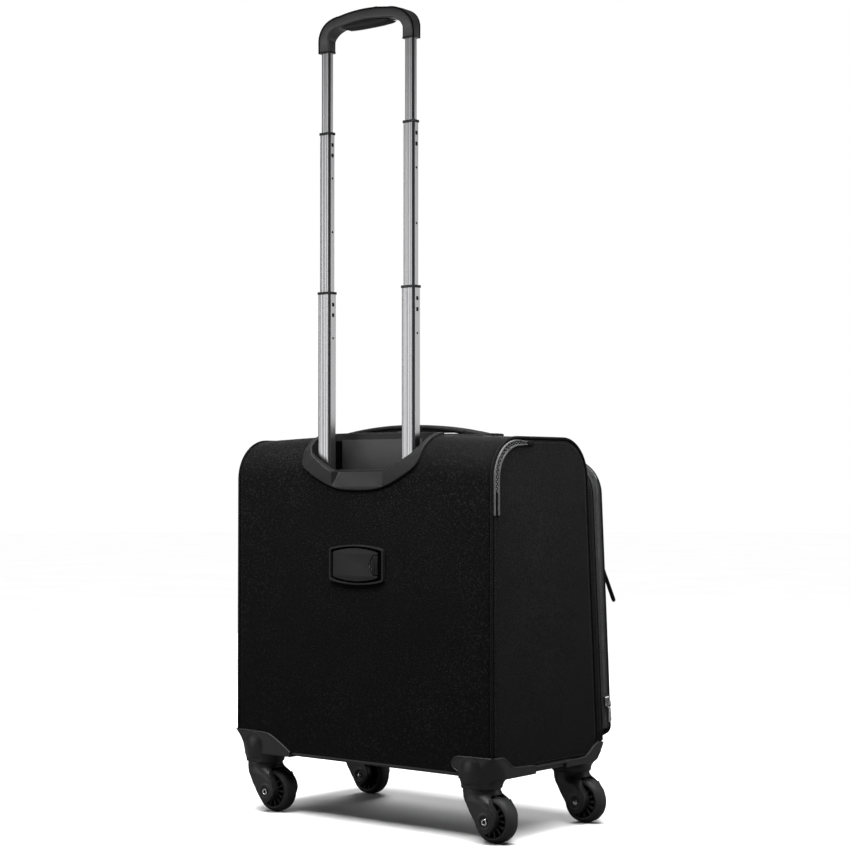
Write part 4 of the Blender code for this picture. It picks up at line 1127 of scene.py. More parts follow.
def make_pockets():
    """Two stuffed pocket panels on the lid, with a zip up their right edge and a taped, stitched seam between
    them.
    """
    upper = pad("pocket_upper", [
        (-0.1815, POCKET_SPLIT + 0.0065, 0.004), (0.1955, POCKET_SPLIT + 0.0065, 0.006),
        (0.1955, POCKET_HIGH, 0.038), (-0.1815, POCKET_HIGH, 0.020),
    ], 0.0062, LID_FRONT, 3.0, 0.0035, 0.012)
    add_piece(upper, "lid", "cloth", "polyester", ["front_pocket"])
    lower = pad("pocket_lower", [
        (-0.1815, POCKET_LOW, 0.006), (0.1955, POCKET_LOW, 0.018),
        (0.1955, POCKET_SPLIT - 0.0065, 0.006), (-0.1815, POCKET_SPLIT - 0.0065, 0.004),
    ], 0.0070, LID_FRONT, 4.0, 0.0045, 0.014)
    add_piece(lower, "lid", "cloth", "polyester")

    top = LID_FRONT + 0.0060
    base = prism("pocket_zip_base", [rounded([
        (-0.1965, POCKET_LOW, 0.004), (-0.1820, POCKET_LOW, 0.002), (-0.1820, POCKET_HIGH - 0.004, 0.002),
        (-0.1965, POCKET_HIGH - 0.020, 0.010),
    ])], 0.0056, FRONT @ UPRIGHT, LID_FRONT + 0.0028)
    add_piece(bevelled(base, 0.0014, 3), "lid", "edge_cloth", "polyester")
    side = resampled([(-0.1900, 0.030), (-0.1900, 0.305)], 0.004)
    run = front_track(side, top)
    for low, high, tag in ((-0.0052, -0.0010, "outer"), (0.0010, 0.0052, "inner")):
        strip = tape(f"pocket_zip_{tag}", run, low, high, 0.0006, lift=-0.0003)
        add_piece(strip, "lid", "zip_tape", "zip_tape")
    add_piece(coil_teeth("pocket_zip_teeth", run, lift=0.0004), "lid", "coil", "zip_tape")

    across = resampled([(-0.176, POCKET_SPLIT), (0.191, POCKET_SPLIT)], 0.004)
    run = front_track(across, LID_FRONT + 0.0018)
    thick = 0.0018
    add_piece(tape("pocket_seam_tape", run, -0.0062, 0.0062, thick), "lid", "webbing", "polyester")
    lifted = [(at + out * thick, along, out, across) for at, along, out, across in run]
    for aside, edge in ((-0.0046, "high"), (0.0046, "low")):
        add_piece(stitches(f"pocket_seam_stitches_{edge}", lifted, aside), "lid", "thread", "polyester")


# ---------------------------------------------------------------- rear zip
def make_rear_zip():
    """Raised zip along both rear top corners, joined by a run across the top."""
    inset = 0.0064
    for side, sign in SIDES:
        path = rounded([
            (BACK_Y - inset, REAR_ZIP_FOOT_Z, 0), (BACK_Y - inset, TOP_Z - inset, TOP_CORNER_R - inset),
            (REAR_ZIP_Y + 0.001, TOP_Z - inset, 0),
        ], closed=False, step=4)
        points = [Vector((sign * (HALF + 0.0012), p.x, p.y)) for p in resampled(path, 0.003)]
        frames = track(points, [Vector((sign, 0, 0))] * len(points))
        if sign > 0:
            frames = [(at, along, out, -across) for at, along, out, across in frames]
        last = len(frames) - 1
        frames = [(at, along, out, across * (1 - 0.6 * smoothstep(k, last - 20, last)))
                  for k, (at, along, out, across) in enumerate(frames)]
        toothed = frames[9:]
        # The inner and outer tapes take the lighter tape: a painted highlight along the raised zip.
        for low, high, tag in ((-0.0052, -0.0024, "inner"), (0.0022, 0.0056, "outer")):
            strip = tape(f"rear_zip_{tag}_{side}", frames, low, high, 0.0010, crown=0.5)
            stands_for = ["rear_zip"] if tag == "inner" and sign > 0 else ()
            add_piece(strip, "case", "zip_tape_highlight", "zip_tape", stands_for)
        # A near-black bed under the coil: painted shade between the tapes.
        bed = tape(f"rear_zip_bed_{side}", frames, -0.0026, 0.0024, 0.0003)
        add_piece(bed, "case", "groove", "zip_tape")
        teeth = coil_teeth(f"rear_zip_teeth_{side}", toothed, 0.0029, 0.0024, 0.0010, lift=0.0002)
        add_piece(teeth, "case", "coil", "zip_tape")
        garage = tape(f"rear_zip_garage_{side}", frames[-5:], -0.0072, 0.0076, 0.0013, crown=0.5)
        add_piece(garage, "case", "dark", "polyester")
    xs = resampled([(-HALF - 0.0006, 0.0), (HALF + 0.0006, 0.0)], 0.004)
    points = []
    for p in xs:
        rise = crown(min(HALF, max(-HALF, p.x)), REAR_ZIP_Y, TOP_Z)
        points.append(Vector((p.x, REAR_ZIP_Y, TOP_Z + max(rise, 0.0) + 0.0002)))
    frames = track(points, [Vector((0, 0, 1))] * len(points))
    for low, high, tag in ((-0.0056, -0.0016, "front"), (0.0016, 0.0056, "back")):
        add_piece(tape(f"rear_zip_{tag}", frames, low, high, 0.0007), "case", "zip_tape", "zip_tape")
    # A near-black bed under the coil: painted shade between the tapes.
    bed = tape("rear_zip_bed_shadow", frames, -0.0020, 0.0020, 0.0003, lift=-0.0002)
    add_piece(bed, "case", "dark", "zip_tape")
    add_piece(coil_teeth("rear_zip_teeth", frames, lift=0.0003), "case", "coil", "zip_tape")


# ---------------------------------------------------------------- handle surround
def cast_back(name, outline, front_y, depth):
    """A solid with this XZ outline, from front_y to `depth` behind it."""
    return prism(name, [outline], depth, Matrix.Translation((0, front_y, 0)) @ UPRIGHT, -depth / 2)


def make_surround():
    """The moulded handle surround with its grip recess and tube holes; a lighter panel on the recess wall is
    painted light, and near-black strips beside the tubes are painted tube shadows.
    """
    proud = 0.0034
    deep = RECESS_FRONT_Y - 0.0030
    rim = cast_back("handle_surround", smile_outline(), deep, 0.07)
    rim = within(rim, case_block("block", proud))
    cup = box("cup", (-0.0960, deep + 0.0004, RECESS_FLOOR_Z - 0.0034), (0.0960, 0.2, 0.6))
    cup = within(cup, case_block("block", -0.0030))
    wall = [(0.0830, RECESS_FLOOR_Z), (0.0840, 0.4500), (0.0915, 0.4800), (0.093, 0.520)]
    walls = mirrored([Vector(p) for p in wall])
    room = cast_back("room", walls, RECESS_FRONT_Y, RECESS_BACK_Y - RECESS_FRONT_Y)
    neckline = mirrored(spline([(0.045, 0.4412), (0.0695, 0.4550), (0.083, 0.4640), (0.0885, 0.4735),
                                (0.0915, 0.4825), (0.093, 0.520)], 5))
    dip = cast_back("dip", neckline, RECESS_BACK_Y - 0.001, 0.03)
    ramp_from, ramp_to = RECESS_BACK_Y - 0.002, BACK_Y + proud + 0.003
    slope = [(ramp_from, 0.4440), (ramp_from, RECESS_FLOOR_Z), (ramp_to, 0.4184), (ramp_to, 0.4440)]
    ramp = prism("ramp", [slope], 0.084, SIDEWAYS)
    under = RECESS_FLOOR_Z - 0.0037
    below = prism("below", [[(deep - 0.01, 0.40), (0.1200, 0.40), (0.1200, 0.4318), (0.1160, under),
                             (deep - 0.01, under)]], 0.4, SIDEWAYS)
    surround = cut(join(rim, cup), room, dip, ramp, below)
    hole = Vector(STAGE_SIZES[0]) / 2 + Vector((0.0006, 0.0006))
    for sign in (1, -1):
        surround = cut(surround, box("hole", (sign * TUBE_X - hole.x, TUBE_Y - hole.y, 0.40),
                                     (sign * TUBE_X + hole.x, TUBE_Y + hole.y, 0.46)))
    add_piece(melted(surround, 0.0009), "case", "plastic", "moulded_plastic", ["handle_bezel"], 60)
    bead = box("recess_bead", (-0.0560, 0.1146, RECESS_FLOOR_Z - 0.0005),
               (0.0560, 0.1166, RECESS_FLOOR_Z + 0.0026))
    add_piece(bevelled(bead, 0.0007, 3), "case", "plastic", "moulded_plastic")
    # A lighter panel on the recess wall: painted light.
    panel = box("recess_painted_light_panel", (-0.0670, RECESS_FRONT_Y - 0.0004, RECESS_FLOOR_Z + 0.0006),
                (0.0670, RECESS_FRONT_Y + 0.0006, 0.4815))
    add_piece(bevelled(panel, 0.0004, 2), "case", "recess", "moulded_plastic")
    # Near-black strips on the recess wall beside the tubes: painted tube shadows.
    tube_shadows = [box("tube_shadow", (sign * 0.0680, RECESS_FRONT_Y - 0.0001, RECESS_FLOOR_Z - 0.0002),
                  (sign * 0.0826, RECESS_FRONT_Y + 0.0005, 0.4800)) for sign in (1, -1)]
    add_piece(joined("tube_shadow_strips", tube_shadows), "case", "groove", "moulded_plastic")


# ---------------------------------------------------------------- carry strap and name tag
def strap_ring(at, across, out, half_width, thickness, crowning):
    """A soft strap's section: rounded edges and a gently crowned top."""
    ring = []
    for u, v in turned_about(20):
        u = math.copysign(abs(u) ** 0.35, u)
        v = math.copysign(abs(v) ** crowning, v)
        ring.append(at + across * (half_width * u) + out * (thickness / 2 * v))
    return ring


def make_carry_strap():
    """The padded carry strap, its sewn end tabs and the patch under it."""
    y, crest, fall, reach = 0.023, 0.501, 0.0145, 0.130
    thickness, half_width, joint_x, tab_x = 0.0062, 0.014, 0.094, 0.137

    def arch(x):
        return crest - fall * (x / reach) ** 2

    def strap_track(low, high, below):
        xs = [low + (high - low) * k / 48 for k in range(49)]
        path = [Vector((x, y, arch(x) - below)) for x in xs]
        return track(path, [Vector((0.223 * x, 0, 1)).normalized() for x in xs])

    rows = [strap_ring(at, across, out, half_width, thickness, 0.75)
            for at, _, out, across in strap_track(joint_x, -joint_x, thickness / 2)]
    strap = closed_loft("carry_strap_pad", rows)
    add_piece(strap, "carry_strap", "rubber", "soft_rubber", ["carry_handle"])
    rows = []
    for k in range(33):
        x = (joint_x - 0.0006) * (1 - k / 16)
        bed = TOP_Z + crown(x, y, TOP_Z) + 0.0024
        top = arch(x) - thickness + 0.0006
        low = max(top - 0.0085, min(top - 0.0008, bed + 0.0008))
        rows.append([Vector((x, y + v * 0.0118, top if up else low)) for v, up in
                     ((-1, 0), (-1, 1), (0, 1), (1, 1), (1, 0), (0, 0))])
    middle = [sum(row, Vector()) / 6 for row in (rows[0], rows[-1])]
    underlay = surface("strap_underlay", rows, closed=True, poles=middle)
    add_piece(bevelled(underlay, 0.0006, 2), "carry_strap", "edge_cloth", "polyester")
    rows = []
    for k in range(41):
        x = 0.134 * (1 - k / 20)
        edge = smoothstep(abs(x), 0.134, 0.128)
        rows.append([Vector((x, y + v, TOP_Z + crown(x, y + v, TOP_Z) + lift * edge - 0.0006)) for v, lift in
                     ((-0.0185, 0.0), (-0.0180, 0.0022), (-0.0165, 0.0028), (0, 0.0028), (0.0165, 0.0028),
                      (0.0180, 0.0022), (0.0185, 0.0))])
    patch = facing_out(surface("strap_reinforcement", rows), (0, 0, 1))
    add_piece(thickened(patch, 0.0008), "case", "webbing", "polyester")
    for aside in (-0.0112, 0.0112):
        side = "rear" if aside > 0 else "front"
        run = strap_track(joint_x - 0.004, 0.004 - joint_x, 0.0005)
        seam = stitches(f"strap_stitches_{side}", run, aside)
        add_piece(seam, "carry_strap", "thread", "soft_rubber")
    for side, sign in SIDES:
        start = joint_x + 0.0012
        rearward, upward = Vector((0, 1, 0)), Vector((0, 0, 1))
        hearts = []
        rows = []
        for k in range(13):
            x = start + (tab_x - start) * k / 12
            bed = TOP_Z + crown(x, y, TOP_Z)
            top = max(arch(x), bed + 0.0034)
            low = max(arch(x) - thickness, bed - 0.0004)
            hearts.append(Vector((sign * x, y, (top + low) / 2)))
            rows.append(strap_ring(hearts[-1], rearward, upward, half_width, top - low, 0.6))
        tab = surface(f"carry_tab_cover_{side}", rows, closed=True, poles=(hearts[0], hearts[-1]))
        add_piece(tab, "case", "rubber", "soft_rubber", [f"carry_tab_{side}"])
        corners = [(0.1050, -0.0095), (0.1050, 0.0095), (0.1330, 0.0095), (0.1330, -0.0095)]
        crossed = [*corners, corners[0], corners[2], corners[1], corners[3]]
        seam = resampled(crossed, 0.002)
        path = []
        for p in seam:
            bed = TOP_Z + crown(p.x, y, TOP_Z)
            path.append(Vector((sign * p.x, y + p.y, max(arch(p.x), bed + 0.0034) - 0.0002)))
        run = track(path, [upward] * len(path))
        seam = stitches(f"tab_stitches_{side}", run, 0.0, 0.0022, 0.0032)
        add_piece(seam, "case", "thread", "soft_rubber")


def make_tag():
    """The name tag: rim, a near-black bed as painted shade round the card, blank card and hinged cover with
    its finger notch.
    """
    half, low, high, bulge = 0.0440, 0.3050, 0.3440, 0.0050
    lift = crown(0.0, BACK_Y, (low + high) / 2)

    def barrel(inset, left=0.0, right=0.0):
        """The tag's outline, barrel-shaped with rounded corners, moved inwards by `inset`."""
        ends = (half - inset - left, right + inset - half)
        arc = [(ends[0] + (ends[1] - ends[0]) * k / 24, bulge * (1 - (1 - k / 12) ** 2)) for k in range(25)]
        upper = [(x, high - inset + rise, 0.0030 if k in (0, 24) else 0) for k, (x, rise) in enumerate(arc)
                 if k in (0, 24) or 1 < k < 23]
        lower = [(x, low + inset - (z - high + inset), radius) for x, z, radius in upper]
        return rounded(upper + lower[::-1], step=15)

    front = Matrix.Translation((0, BACK_Y + 0.0002, 0)) @ UPRIGHT
    rim_depth = 0.0042 + lift
    rim = prism("tag_rim", [barrel(-0.0004), barrel(0.0015)], rim_depth, front, -rim_depth / 2)
    add_piece(bevelled(rim, 0.0006, 3), "case", "plastic", "moulded_plastic", ["tag_frame"])
    # A near-black bed under the card: painted shade inside the rim.
    bed = prism("tag_bed_shadow", [barrel(0.0012)], 0.0006, front, -lift - 0.0001)
    add_piece(bed, "case", "groove", "moulded_plastic")
    outline = [(-0.024, 0.3105, 0.002), (0.036, 0.3105, 0.002), (0.036, 0.3385, 0.002),
               (-0.024, 0.3385, 0.002)]
    card = prism("tag_card", [rounded(outline)], 0.0003, front, -lift - 0.0006)
    add_piece(card, "case", "card", "moulded_plastic")
    middle = (low + high) / 2
    plate = prism("tag_plate", [barrel(0.0040, left=0.0008, right=0.0050)], 0.0020, front, -lift - 0.0018)
    notch = [(-0.0400, middle - 0.0131), (-0.0274, middle - 0.0131), (-0.0192, middle),
             (-0.0274, middle + 0.0131), (-0.0400, middle + 0.0131)]
    plate = cut(plate, prism("notch", [notch], 0.02, front))
    clasp = [(-0.0344, middle - 0.0121), (-0.0279, middle - 0.0121), (-0.0205, middle),
             (-0.0279, middle + 0.0121), (-0.0344, middle + 0.0121)]
    pieces = [bevelled(plate, 0.0006, 3),
              bevelled(prism("clasp", [clasp], 0.0016, front, -lift - 0.0014), 0.0004, 3)]
    for x in (-0.0268, -0.0292, -0.0316, -0.0338):
        reach = 0.0102 if x < -0.028 else 0.0086
        low_z, high_z = middle - reach, middle + reach
        outline = [(x - 0.0005, low_z), (x + 0.0005, low_z), (x + 0.0005, high_z), (x - 0.0005, high_z)]
        pieces.append(bevelled(prism("ridge", [outline], 0.0010, front, -lift - 0.0024), 0.0003, 2))
    add_piece(joined("tag_flap_plate", pieces), "tag_flap", "plastic", "moulded_plastic", ["tag_cover"])


# ---------------------------------------------------------------- telescopic handle
def tube_section(size):
    """Drawn box section with ribs along its broad faces and a fine groove at each corner."""
    a, b = size[0] / 2, size[1] / 2
    face = [(a, b - 0.0024), (a - 0.0009, b - 0.0019), (a - 0.0010, b - 0.0012), (a - 0.0015, b - 0.0004),
            (a - 0.0024, b)]
    for centre in (0.46, 0.12, -0.12, -0.46):
        for reach, depth in ((0.0009, 0.0), (0.0005, 0.00045), (-0.0005, 0.00045), (-0.0009, 0.0)):
            face.append((a * centre + reach, b - depth))
    face += [(0.0024 - a, b), (0.0015 - a, b - 0.0004), (0.0010 - a, b - 0.0012), (0.0009 - a, b - 0.0019),
             (-a, b - 0.0024)]
    return face + [(-x, -y) for x, y in face]


QUARTERS = ((1, -1), (1, 1), (-1, 1), (-1, -1))


def make_handle():
    """Three stages of two tubes each, their collars and lock buttons, and the grip."""
    for number, size in enumerate(STAGE_SIZES, 1):
        body = f"stage_{number}"
        for side, sign in SIDES:
            low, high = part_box(f"stage{number}_tube_{side}")
            low, high = low - SHIFT, high - SHIFT
            x = sign * TUBE_X
            wall = 0.0009
            hollow = rounded([(size[0] / 2 * i - wall * i, size[1] / 2 * j - wall * j, 0.0008)
                              for i, j in QUARTERS], step=30)
            tube = prism(f"tube_{number}_{side}", [tube_section(size), hollow], high.z - low.z,
                         Matrix.Translation((x, TUBE_Y, (low.z + high.z) / 2)))
            if number < 3:
                for drop in (0.0130, 0.0265):
                    window = box("window", (x - 0.02, TUBE_Y - 0.0022, high.z - drop - 0.0024),
                                 (x + 0.02, TUBE_Y + 0.0022, high.z - drop + 0.0024))
                    tube = cut(tube, bevelled(window, 0.0005, 2))
            add_piece(tube, body, "aluminium", "anodised_aluminium", [f"stage{number}_tube_{side}"], 25)
            if number < 3:
                make_collar(number, side, x, size)
                make_catches(number, side, x, size, high.z)
    make_channels()
    make_grip()


def make_collar(number, side, x, size):
    """The cap at the top of a tube, through which the next stage slides."""
    low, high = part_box(f"stage{number}_collar_{side}")
    inner = STAGE_SIZES[number]
    loops = []
    for reach, (a, b) in ((0.0004, size), (0.0003, inner)):
        loops.append(rounded([(i * (a / 2 + reach), j * (b / 2 + reach), 0.0018)
                              for i, j in QUARTERS], step=15))
    collar = prism(f"collar_{number}_{side}", loops, high.z - low.z,
                   Matrix.Translation((x, TUBE_Y, (low.z + high.z) / 2)))
    add_piece(bevelled(collar, 0.0005, 2), f"stage_{number}", "rubber", "moulded_plastic",
              [f"stage{number}_collar_{side}"])


def make_catches(number, side, x, size, top):
    """Small sprung lock buttons in the tube's narrow faces and plates in its windows; their near-black tone
    is painted shade of the holes and windows.
    """
    parts = []
    for sign in (1, -1):
        for drop in (0.0560, 0.1250) if number == 2 else (0.0560,):
            face = x + sign * size[0] / 2
            turn = Matrix.Rotation(sign * math.pi / 2, 4, "Y")
            at = Matrix.Translation((face, TUBE_Y, top - drop)) @ turn
            dome = spun("catch", [(NEAR_AXIS, 0.0005), (0.0008, 0.00045), (0.0014, 0.0002), (0.0015, -0.0004),
                                  (NEAR_AXIS, -0.0004)], 20)
            dome.data.transform(at)
            parts.append(dome)
        # Near-black plates inside the tube's windows: painted shade.
        for drop in (0.0130, 0.0265):
            face = x + sign * (size[0] / 2 - 0.0006)
            parts.append(box("plate", (face - 0.0002, TUBE_Y - 0.0024, top - drop - 0.0026),
                             (face + 0.0002, TUBE_Y + 0.0024, top - drop + 0.0026)))
    add_piece(joined(f"catches_{number}_{side}", parts), f"stage_{number}", "dark", "anodised_aluminium")


def make_channels():
    """The two channels inside the case that hold the outer tubes, and their foot."""
    for side, _ in SIDES:
        refined(f"channel_{side}", "case", "aluminium", "anodised_aluminium", 0.0003, 1)
    refined("channel_foot", "case", "guard", "moulded_plastic", 0.0004, 1)


def refined(name, body, finish, slot, width, segments=2):
    """A CAD piece of the right shape with its edges rounded."""
    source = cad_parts[name]
    made = link(f"{name}_finished", source.data.copy())
    made.data.materials.clear()
    bm = bmesh.new()
    bm.from_mesh(made.data)
    bmesh.ops.remove_doubles(bm, verts=bm.verts, dist=1e-6)
    bmesh.ops.dissolve_limit(bm, angle_limit=math.radians(1), verts=bm.verts, edges=bm.edges)
    bm.to_mesh(made.data)
    bm.free()
    made.data.transform(Matrix.Translation(-SHIFT))
    made = bevelled(made, width, segments)
    return add_piece(made, body, finish, slot, [name])


def grip_sections():
    """Places along the grip: up one leg, over the arched bar and down the other."""
    leg, bar = (0.0186, 0.0136), (0.0135, 0.0230)
    foot_z, top_z = 0.9775, 1.0230
    rise = top_z - bar[0] / 2
    corner, squat = 0.030, 0.72
    path = [(TUBE_X, foot_z), (TUBE_X, foot_z + 0.005), (TUBE_X, foot_z + 0.010)]
    for k in range(25):
        angle = math.pi / 2 * k / 24
        path.append((TUBE_X - corner + corner * math.cos(angle),
                     rise - 0.0035 - corner * squat + corner * squat * math.sin(angle)))
    for k in range(1, 13):
        x = (TUBE_X - corner) * (1 - k / 12)
        path.append((x, rise - 0.0035 * (x / (TUBE_X - corner)) ** 2))
    path += [(-x, z) for x, z in path[-2::-1]]
    made = []
    last = len(path) - 1
    for i, (x, z) in enumerate(path):
        ahead, behind = path[min(i + 1, last)], path[max(i - 1, 0)]
        along = Vector((ahead[0] - behind[0], 0, ahead[1] - behind[1])).normalized()
        across = Vector((0, 1, 0)).cross(along).normalized()
        share = smoothstep(z, foot_z + 0.008, rise - 0.004)
        a = (leg[0] + (bar[0] - leg[0]) * share) / 2
        b = (leg[1] + (bar[1] - leg[1]) * share) / 2
        made.append((Vector((x, TUBE_Y, z)), across, a, b))
    return made


def make_grip():
    """The arched grip: body, outer caps, near-black cords as painted seam shadows, feet, button and the soft
    insert with its ridges.
    """
    sections = grip_sections()
    rows, strip_rows, seams = [], [], ([], [])
    cap_section = ((-1, -0.0014), (-0.96, 0.0001), (-0.7, 0.0006), (0, 0.0008), (0.7, 0.0006),
                   (0.96, 0.0001), (1, -0.0014))
    for at, across, a, b in sections:
        edge = min(a, b) * 0.42
        loop = rounded([(a, -b, edge), (a, b, edge), (-a, b, edge), (-a, -b, edge)], step=15)
        rows.append([at + across * u + Vector((0, v, 0)) for u, v in loop])
        outer = math.copysign(1, across.dot(at - Vector((0, TUBE_Y, 0.975))))
        reach = b - edge * 0.55
        strip_rows.append([at + across * (outer * (a + lift)) + Vector((0, reach * v, 0))
                           for v, lift in cap_section])
        for seam, way in zip(seams, (-1, 1)):
            seam.append(at + across * (outer * (a - edge * 0.12)) + Vector((0, way * (b - edge * 0.20), 0)))
    grip = closed_loft("grip_body", rows)
    well = box("well", (-0.0192, TUBE_Y - 0.0062, 1.0170), (0.0192, TUBE_Y + 0.0062, 1.1))
    add_piece(cut(grip, well), "stage_3", "grip", "moulded_plastic", ["grip_shell"], 40)
    middle = len(strip_rows) // 2
    for side, part in (("left", strip_rows[:middle - 5]), ("right", strip_rows[middle + 6:])):
        cap = facing_out(surface(f"grip_cap_{side}", part), (1 if side == "left" else -1, 0, 1))
        add_piece(thickened(cap, 0.0012), "stage_3", "grip", "moulded_plastic")
    # Near-black cords along the grip's corners: painted seam shadows.
    for seam, side in zip(seams, ("front", "rear")):
        add_piece(cord_mesh(f"grip_seam_shadow_{side}", seam, 0.0009), "stage_3", "groove", "moulded_plastic")
    refined("release_button", "button", "plastic", "moulded_plastic", 0.0002, 1)
    feet = []
    for sign in (1, -1):
        loop = rounded([(sign * TUBE_X + i * 0.0096, TUBE_Y + j * 0.0071, 0.0028)
                        for i, j in QUARTERS], step=15)
        feet.append(bevelled(prism("foot", [loop], 0.0018, Matrix.Translation((0, 0, 0.9785))), 0.0005, 2))
    add_piece(joined("grip_feet", feet), "stage_3", "dark", "moulded_plastic")

    refined("grip_insert", "stage_3", "rubber", "soft_rubber", 0.0008)
    ridges = []
    for k in range(17):
        x = 0.034 * (1 - 2 * k / 16)
        z = 1.0025 + 0.0016 * (abs(x) / 0.0385) ** 3
        ridge = box("ridge", (x - 0.0009, TUBE_Y - 0.0082, z - 0.0007),
                    (x + 0.0009, TUBE_Y + 0.0082, z + 0.001))
        ridges.append(bevelled(ridge, 0.0005, 2))
    add_piece(joined("grip_ridges", ridges), "stage_3", "rubber", "soft_rubber")


# ---------------------------------------------------------------- casters and corner guards
def flare_rings(x, y, reach_in, reach_out, reach_front, reach_back, radius):
    """Rings from the round foot of a caster boss out to the squarer corner of the case above it."""
    profile = ((0.0636, 0.0), (0.0650, 0.01), (0.0680, 0.06), (0.0710, 0.17), (0.0740, 0.38),
               (0.0765, 0.66), (0.0785, 0.90), (0.0800, 1.0), (0.0835, 1.0))
    rings = []
    for z, share in profile:
        ring = []
        for u, v in turned_about(72):
            a = reach_in if u > 0 else reach_out
            b = reach_back if v > 0 else reach_front
            square = ((abs(u) / a) ** 5 + (abs(v) / b) ** 5) ** -0.2
            reach = radius + (max(square, radius + 0.0006) - radius) * share
            ring.append(Vector((x + u * reach, y + v * reach, z)))
        rings.append(ring)
    return rings


def guard_outlines(rear, long_arm):
    """Upper edges of a corner guard: along the case's side (Y, Z) and across its back or front (X, Z)."""
    if not rear:
        side = [(-0.0180, 0.0838), (-0.0215, 0.0848), (-0.0470, 0.0848), (-0.0600, 0.0860),
                (-0.0690, 0.0905), (-0.0760, 0.0955), (-0.0865, 0.1002), (-0.0925, 0.1004)]
        return side, [(-0.2400, 0.1004), (-0.1500, 0.1004)]
    side = [(BACK_Y + GUARD_PROUD, 0.1024), (0.1120, 0.1022), (0.1060, 0.1000), (0.0985, 0.0945),
            (0.0930, 0.0905), (0.0870, 0.0884), (0.0680, 0.0872), (0.0500, 0.0866), (0.0440, 0.0850)]
    if long_arm:
        back = [(-0.2160, 0.1050), (-0.1900, 0.1048), (-0.1640, 0.1042), (-0.1520, 0.1026),
                (-0.1410, 0.0976), (-0.1270, 0.0898), (-0.1150, 0.0822)]
    else:
        back = [(-0.2160, 0.1026), (-0.1860, 0.1022), (-0.1600, 0.1016), (-0.1535, 0.0990),
                (-0.1508, 0.0935), (-0.1530, 0.0880), (-0.1600, 0.0842)]
    return side, back


def housing_mesh(rear, long_arm=False):
    """The right-hand corner guard with its caster boss, and the cord of its rim, which takes a lighter
    plastic as a painted highlight.

    `long_arm` gives the flared one that is mirrored for the rear left corner.
    """
    y = REAR_CASTER_Y if rear else FRONT_CASTER_Y
    x = -CASTER_X
    tray_low = 0.0771
    proud = GUARD_PROUD
    out = HALF + proud
    side, back = guard_outlines(rear, long_arm)
    side, back = spline(side, 4), spline(back, 4)
    low = 0.0752
    if rear:
        rings = flare_rings(x, y, 0.0270, out - CASTER_X, 0.0300, BACK_Y + proud - y, 0.0248)
        face_y = BACK_Y + proud
        thick = 0.014
        outline = [*side, (0.0440, low), (face_y, low)]
        arm = prism("arm", [outline], thick, SIDEWAYS, -(out - thick / 2))
        outline = [*back, (back[-1][0], low), (-out, low)]
        plate = prism("plate", [outline], thick, Matrix.Translation((0, face_y - thick / 2, 0)) @ UPRIGHT)
        profile = ((0.0700, 0.0250), (0.0780, 0.0262), (0.0850, 0.0268), (0.0910, 0.0264),
                   (0.0960, 0.0252), (0.1000, 0.0232), (0.1020, 0.0214))
        bulge = closed_loft("bulge", [[Vector((x + r * u, y + r * v, z)) for u, v in turned_about(72)]
                                      for z, r in profile])
        body = within(join(closed_loft("boss", rings), arm, plate), corner_envelope("envelope"))
        housing = join(body, bulge)
    else:
        rings = flare_rings(x, y, 0.0262, out - CASTER_X, 0.0180, 0.0290, 0.0248)
        thick = 0.054
        foot = [(-0.1010, 0.0995), (-0.0935, 0.0870), (-0.0870, 0.0800), (-0.0780, 0.0758), (-0.0180, low)]
        arm = prism("arm", [[*side, *foot]], thick, SIDEWAYS, -(out - thick / 2))
        housing = join(closed_loft("boss", rings), arm)
    block = within(case_block("block", 0.0003), corner_envelope("envelope", -0.0026))
    room = box("tray_room", (-HALF - 0.0003, -0.0579, tray_low),
               (HALF + 0.0003, BACK_Y + 0.0004, FOOT_Z + 0.001))
    room = within(room, corner_envelope("envelope", -0.0026))
    bore = cylinder("stem_bore", (x, y, 0.05), 0.0245, 0.0066)
    housing = melted(cut(housing, block, room, bore), 0.0008)

    # the raised rim along the guard's upper edge; its lighter plastic is a painted highlight
    rim = []
    if rear:
        rim = [Vector((p[0], BACK_Y + proud - 0.0002, p[1] - 0.0010))
               for p in back[::-1] if p[0] > -out + 0.004]
    start = BACK_Y + proud - 0.0035 if rear else 9
    rim += [Vector((-out + 0.0002, p[0], p[1] - 0.0010)) for p in side if p[0] < start]
    return housing, cord_mesh("rim", resampled(rim, 0.002), 0.0010, sides=3)


def make_housings():
    """The four corner guards; the left ones are mirrored right-hand shapes."""
    for row in ("rear", "front"):
        for side, sign in SIDES:
            pieces = housing_mesh(row == "rear", sign > 0)
            for piece in pieces if sign > 0 else ():
                piece.data.transform(Matrix.Scale(-1, 4, (1, 0, 0)))
                piece.data.flip_normals()
            pieces[0].name, pieces[1].name = f"guard_{row}_{side}", f"guard_rim_highlight_{row}_{side}"
            add_piece(pieces[0], "case", "guard", "moulded_plastic", [f"{row}_{side}_housing"], 60)
            # The rim cord takes the lighter plastic: a painted highlight along the guard's edge.
            add_piece(pieces[1], "case", "recess", "moulded_plastic")


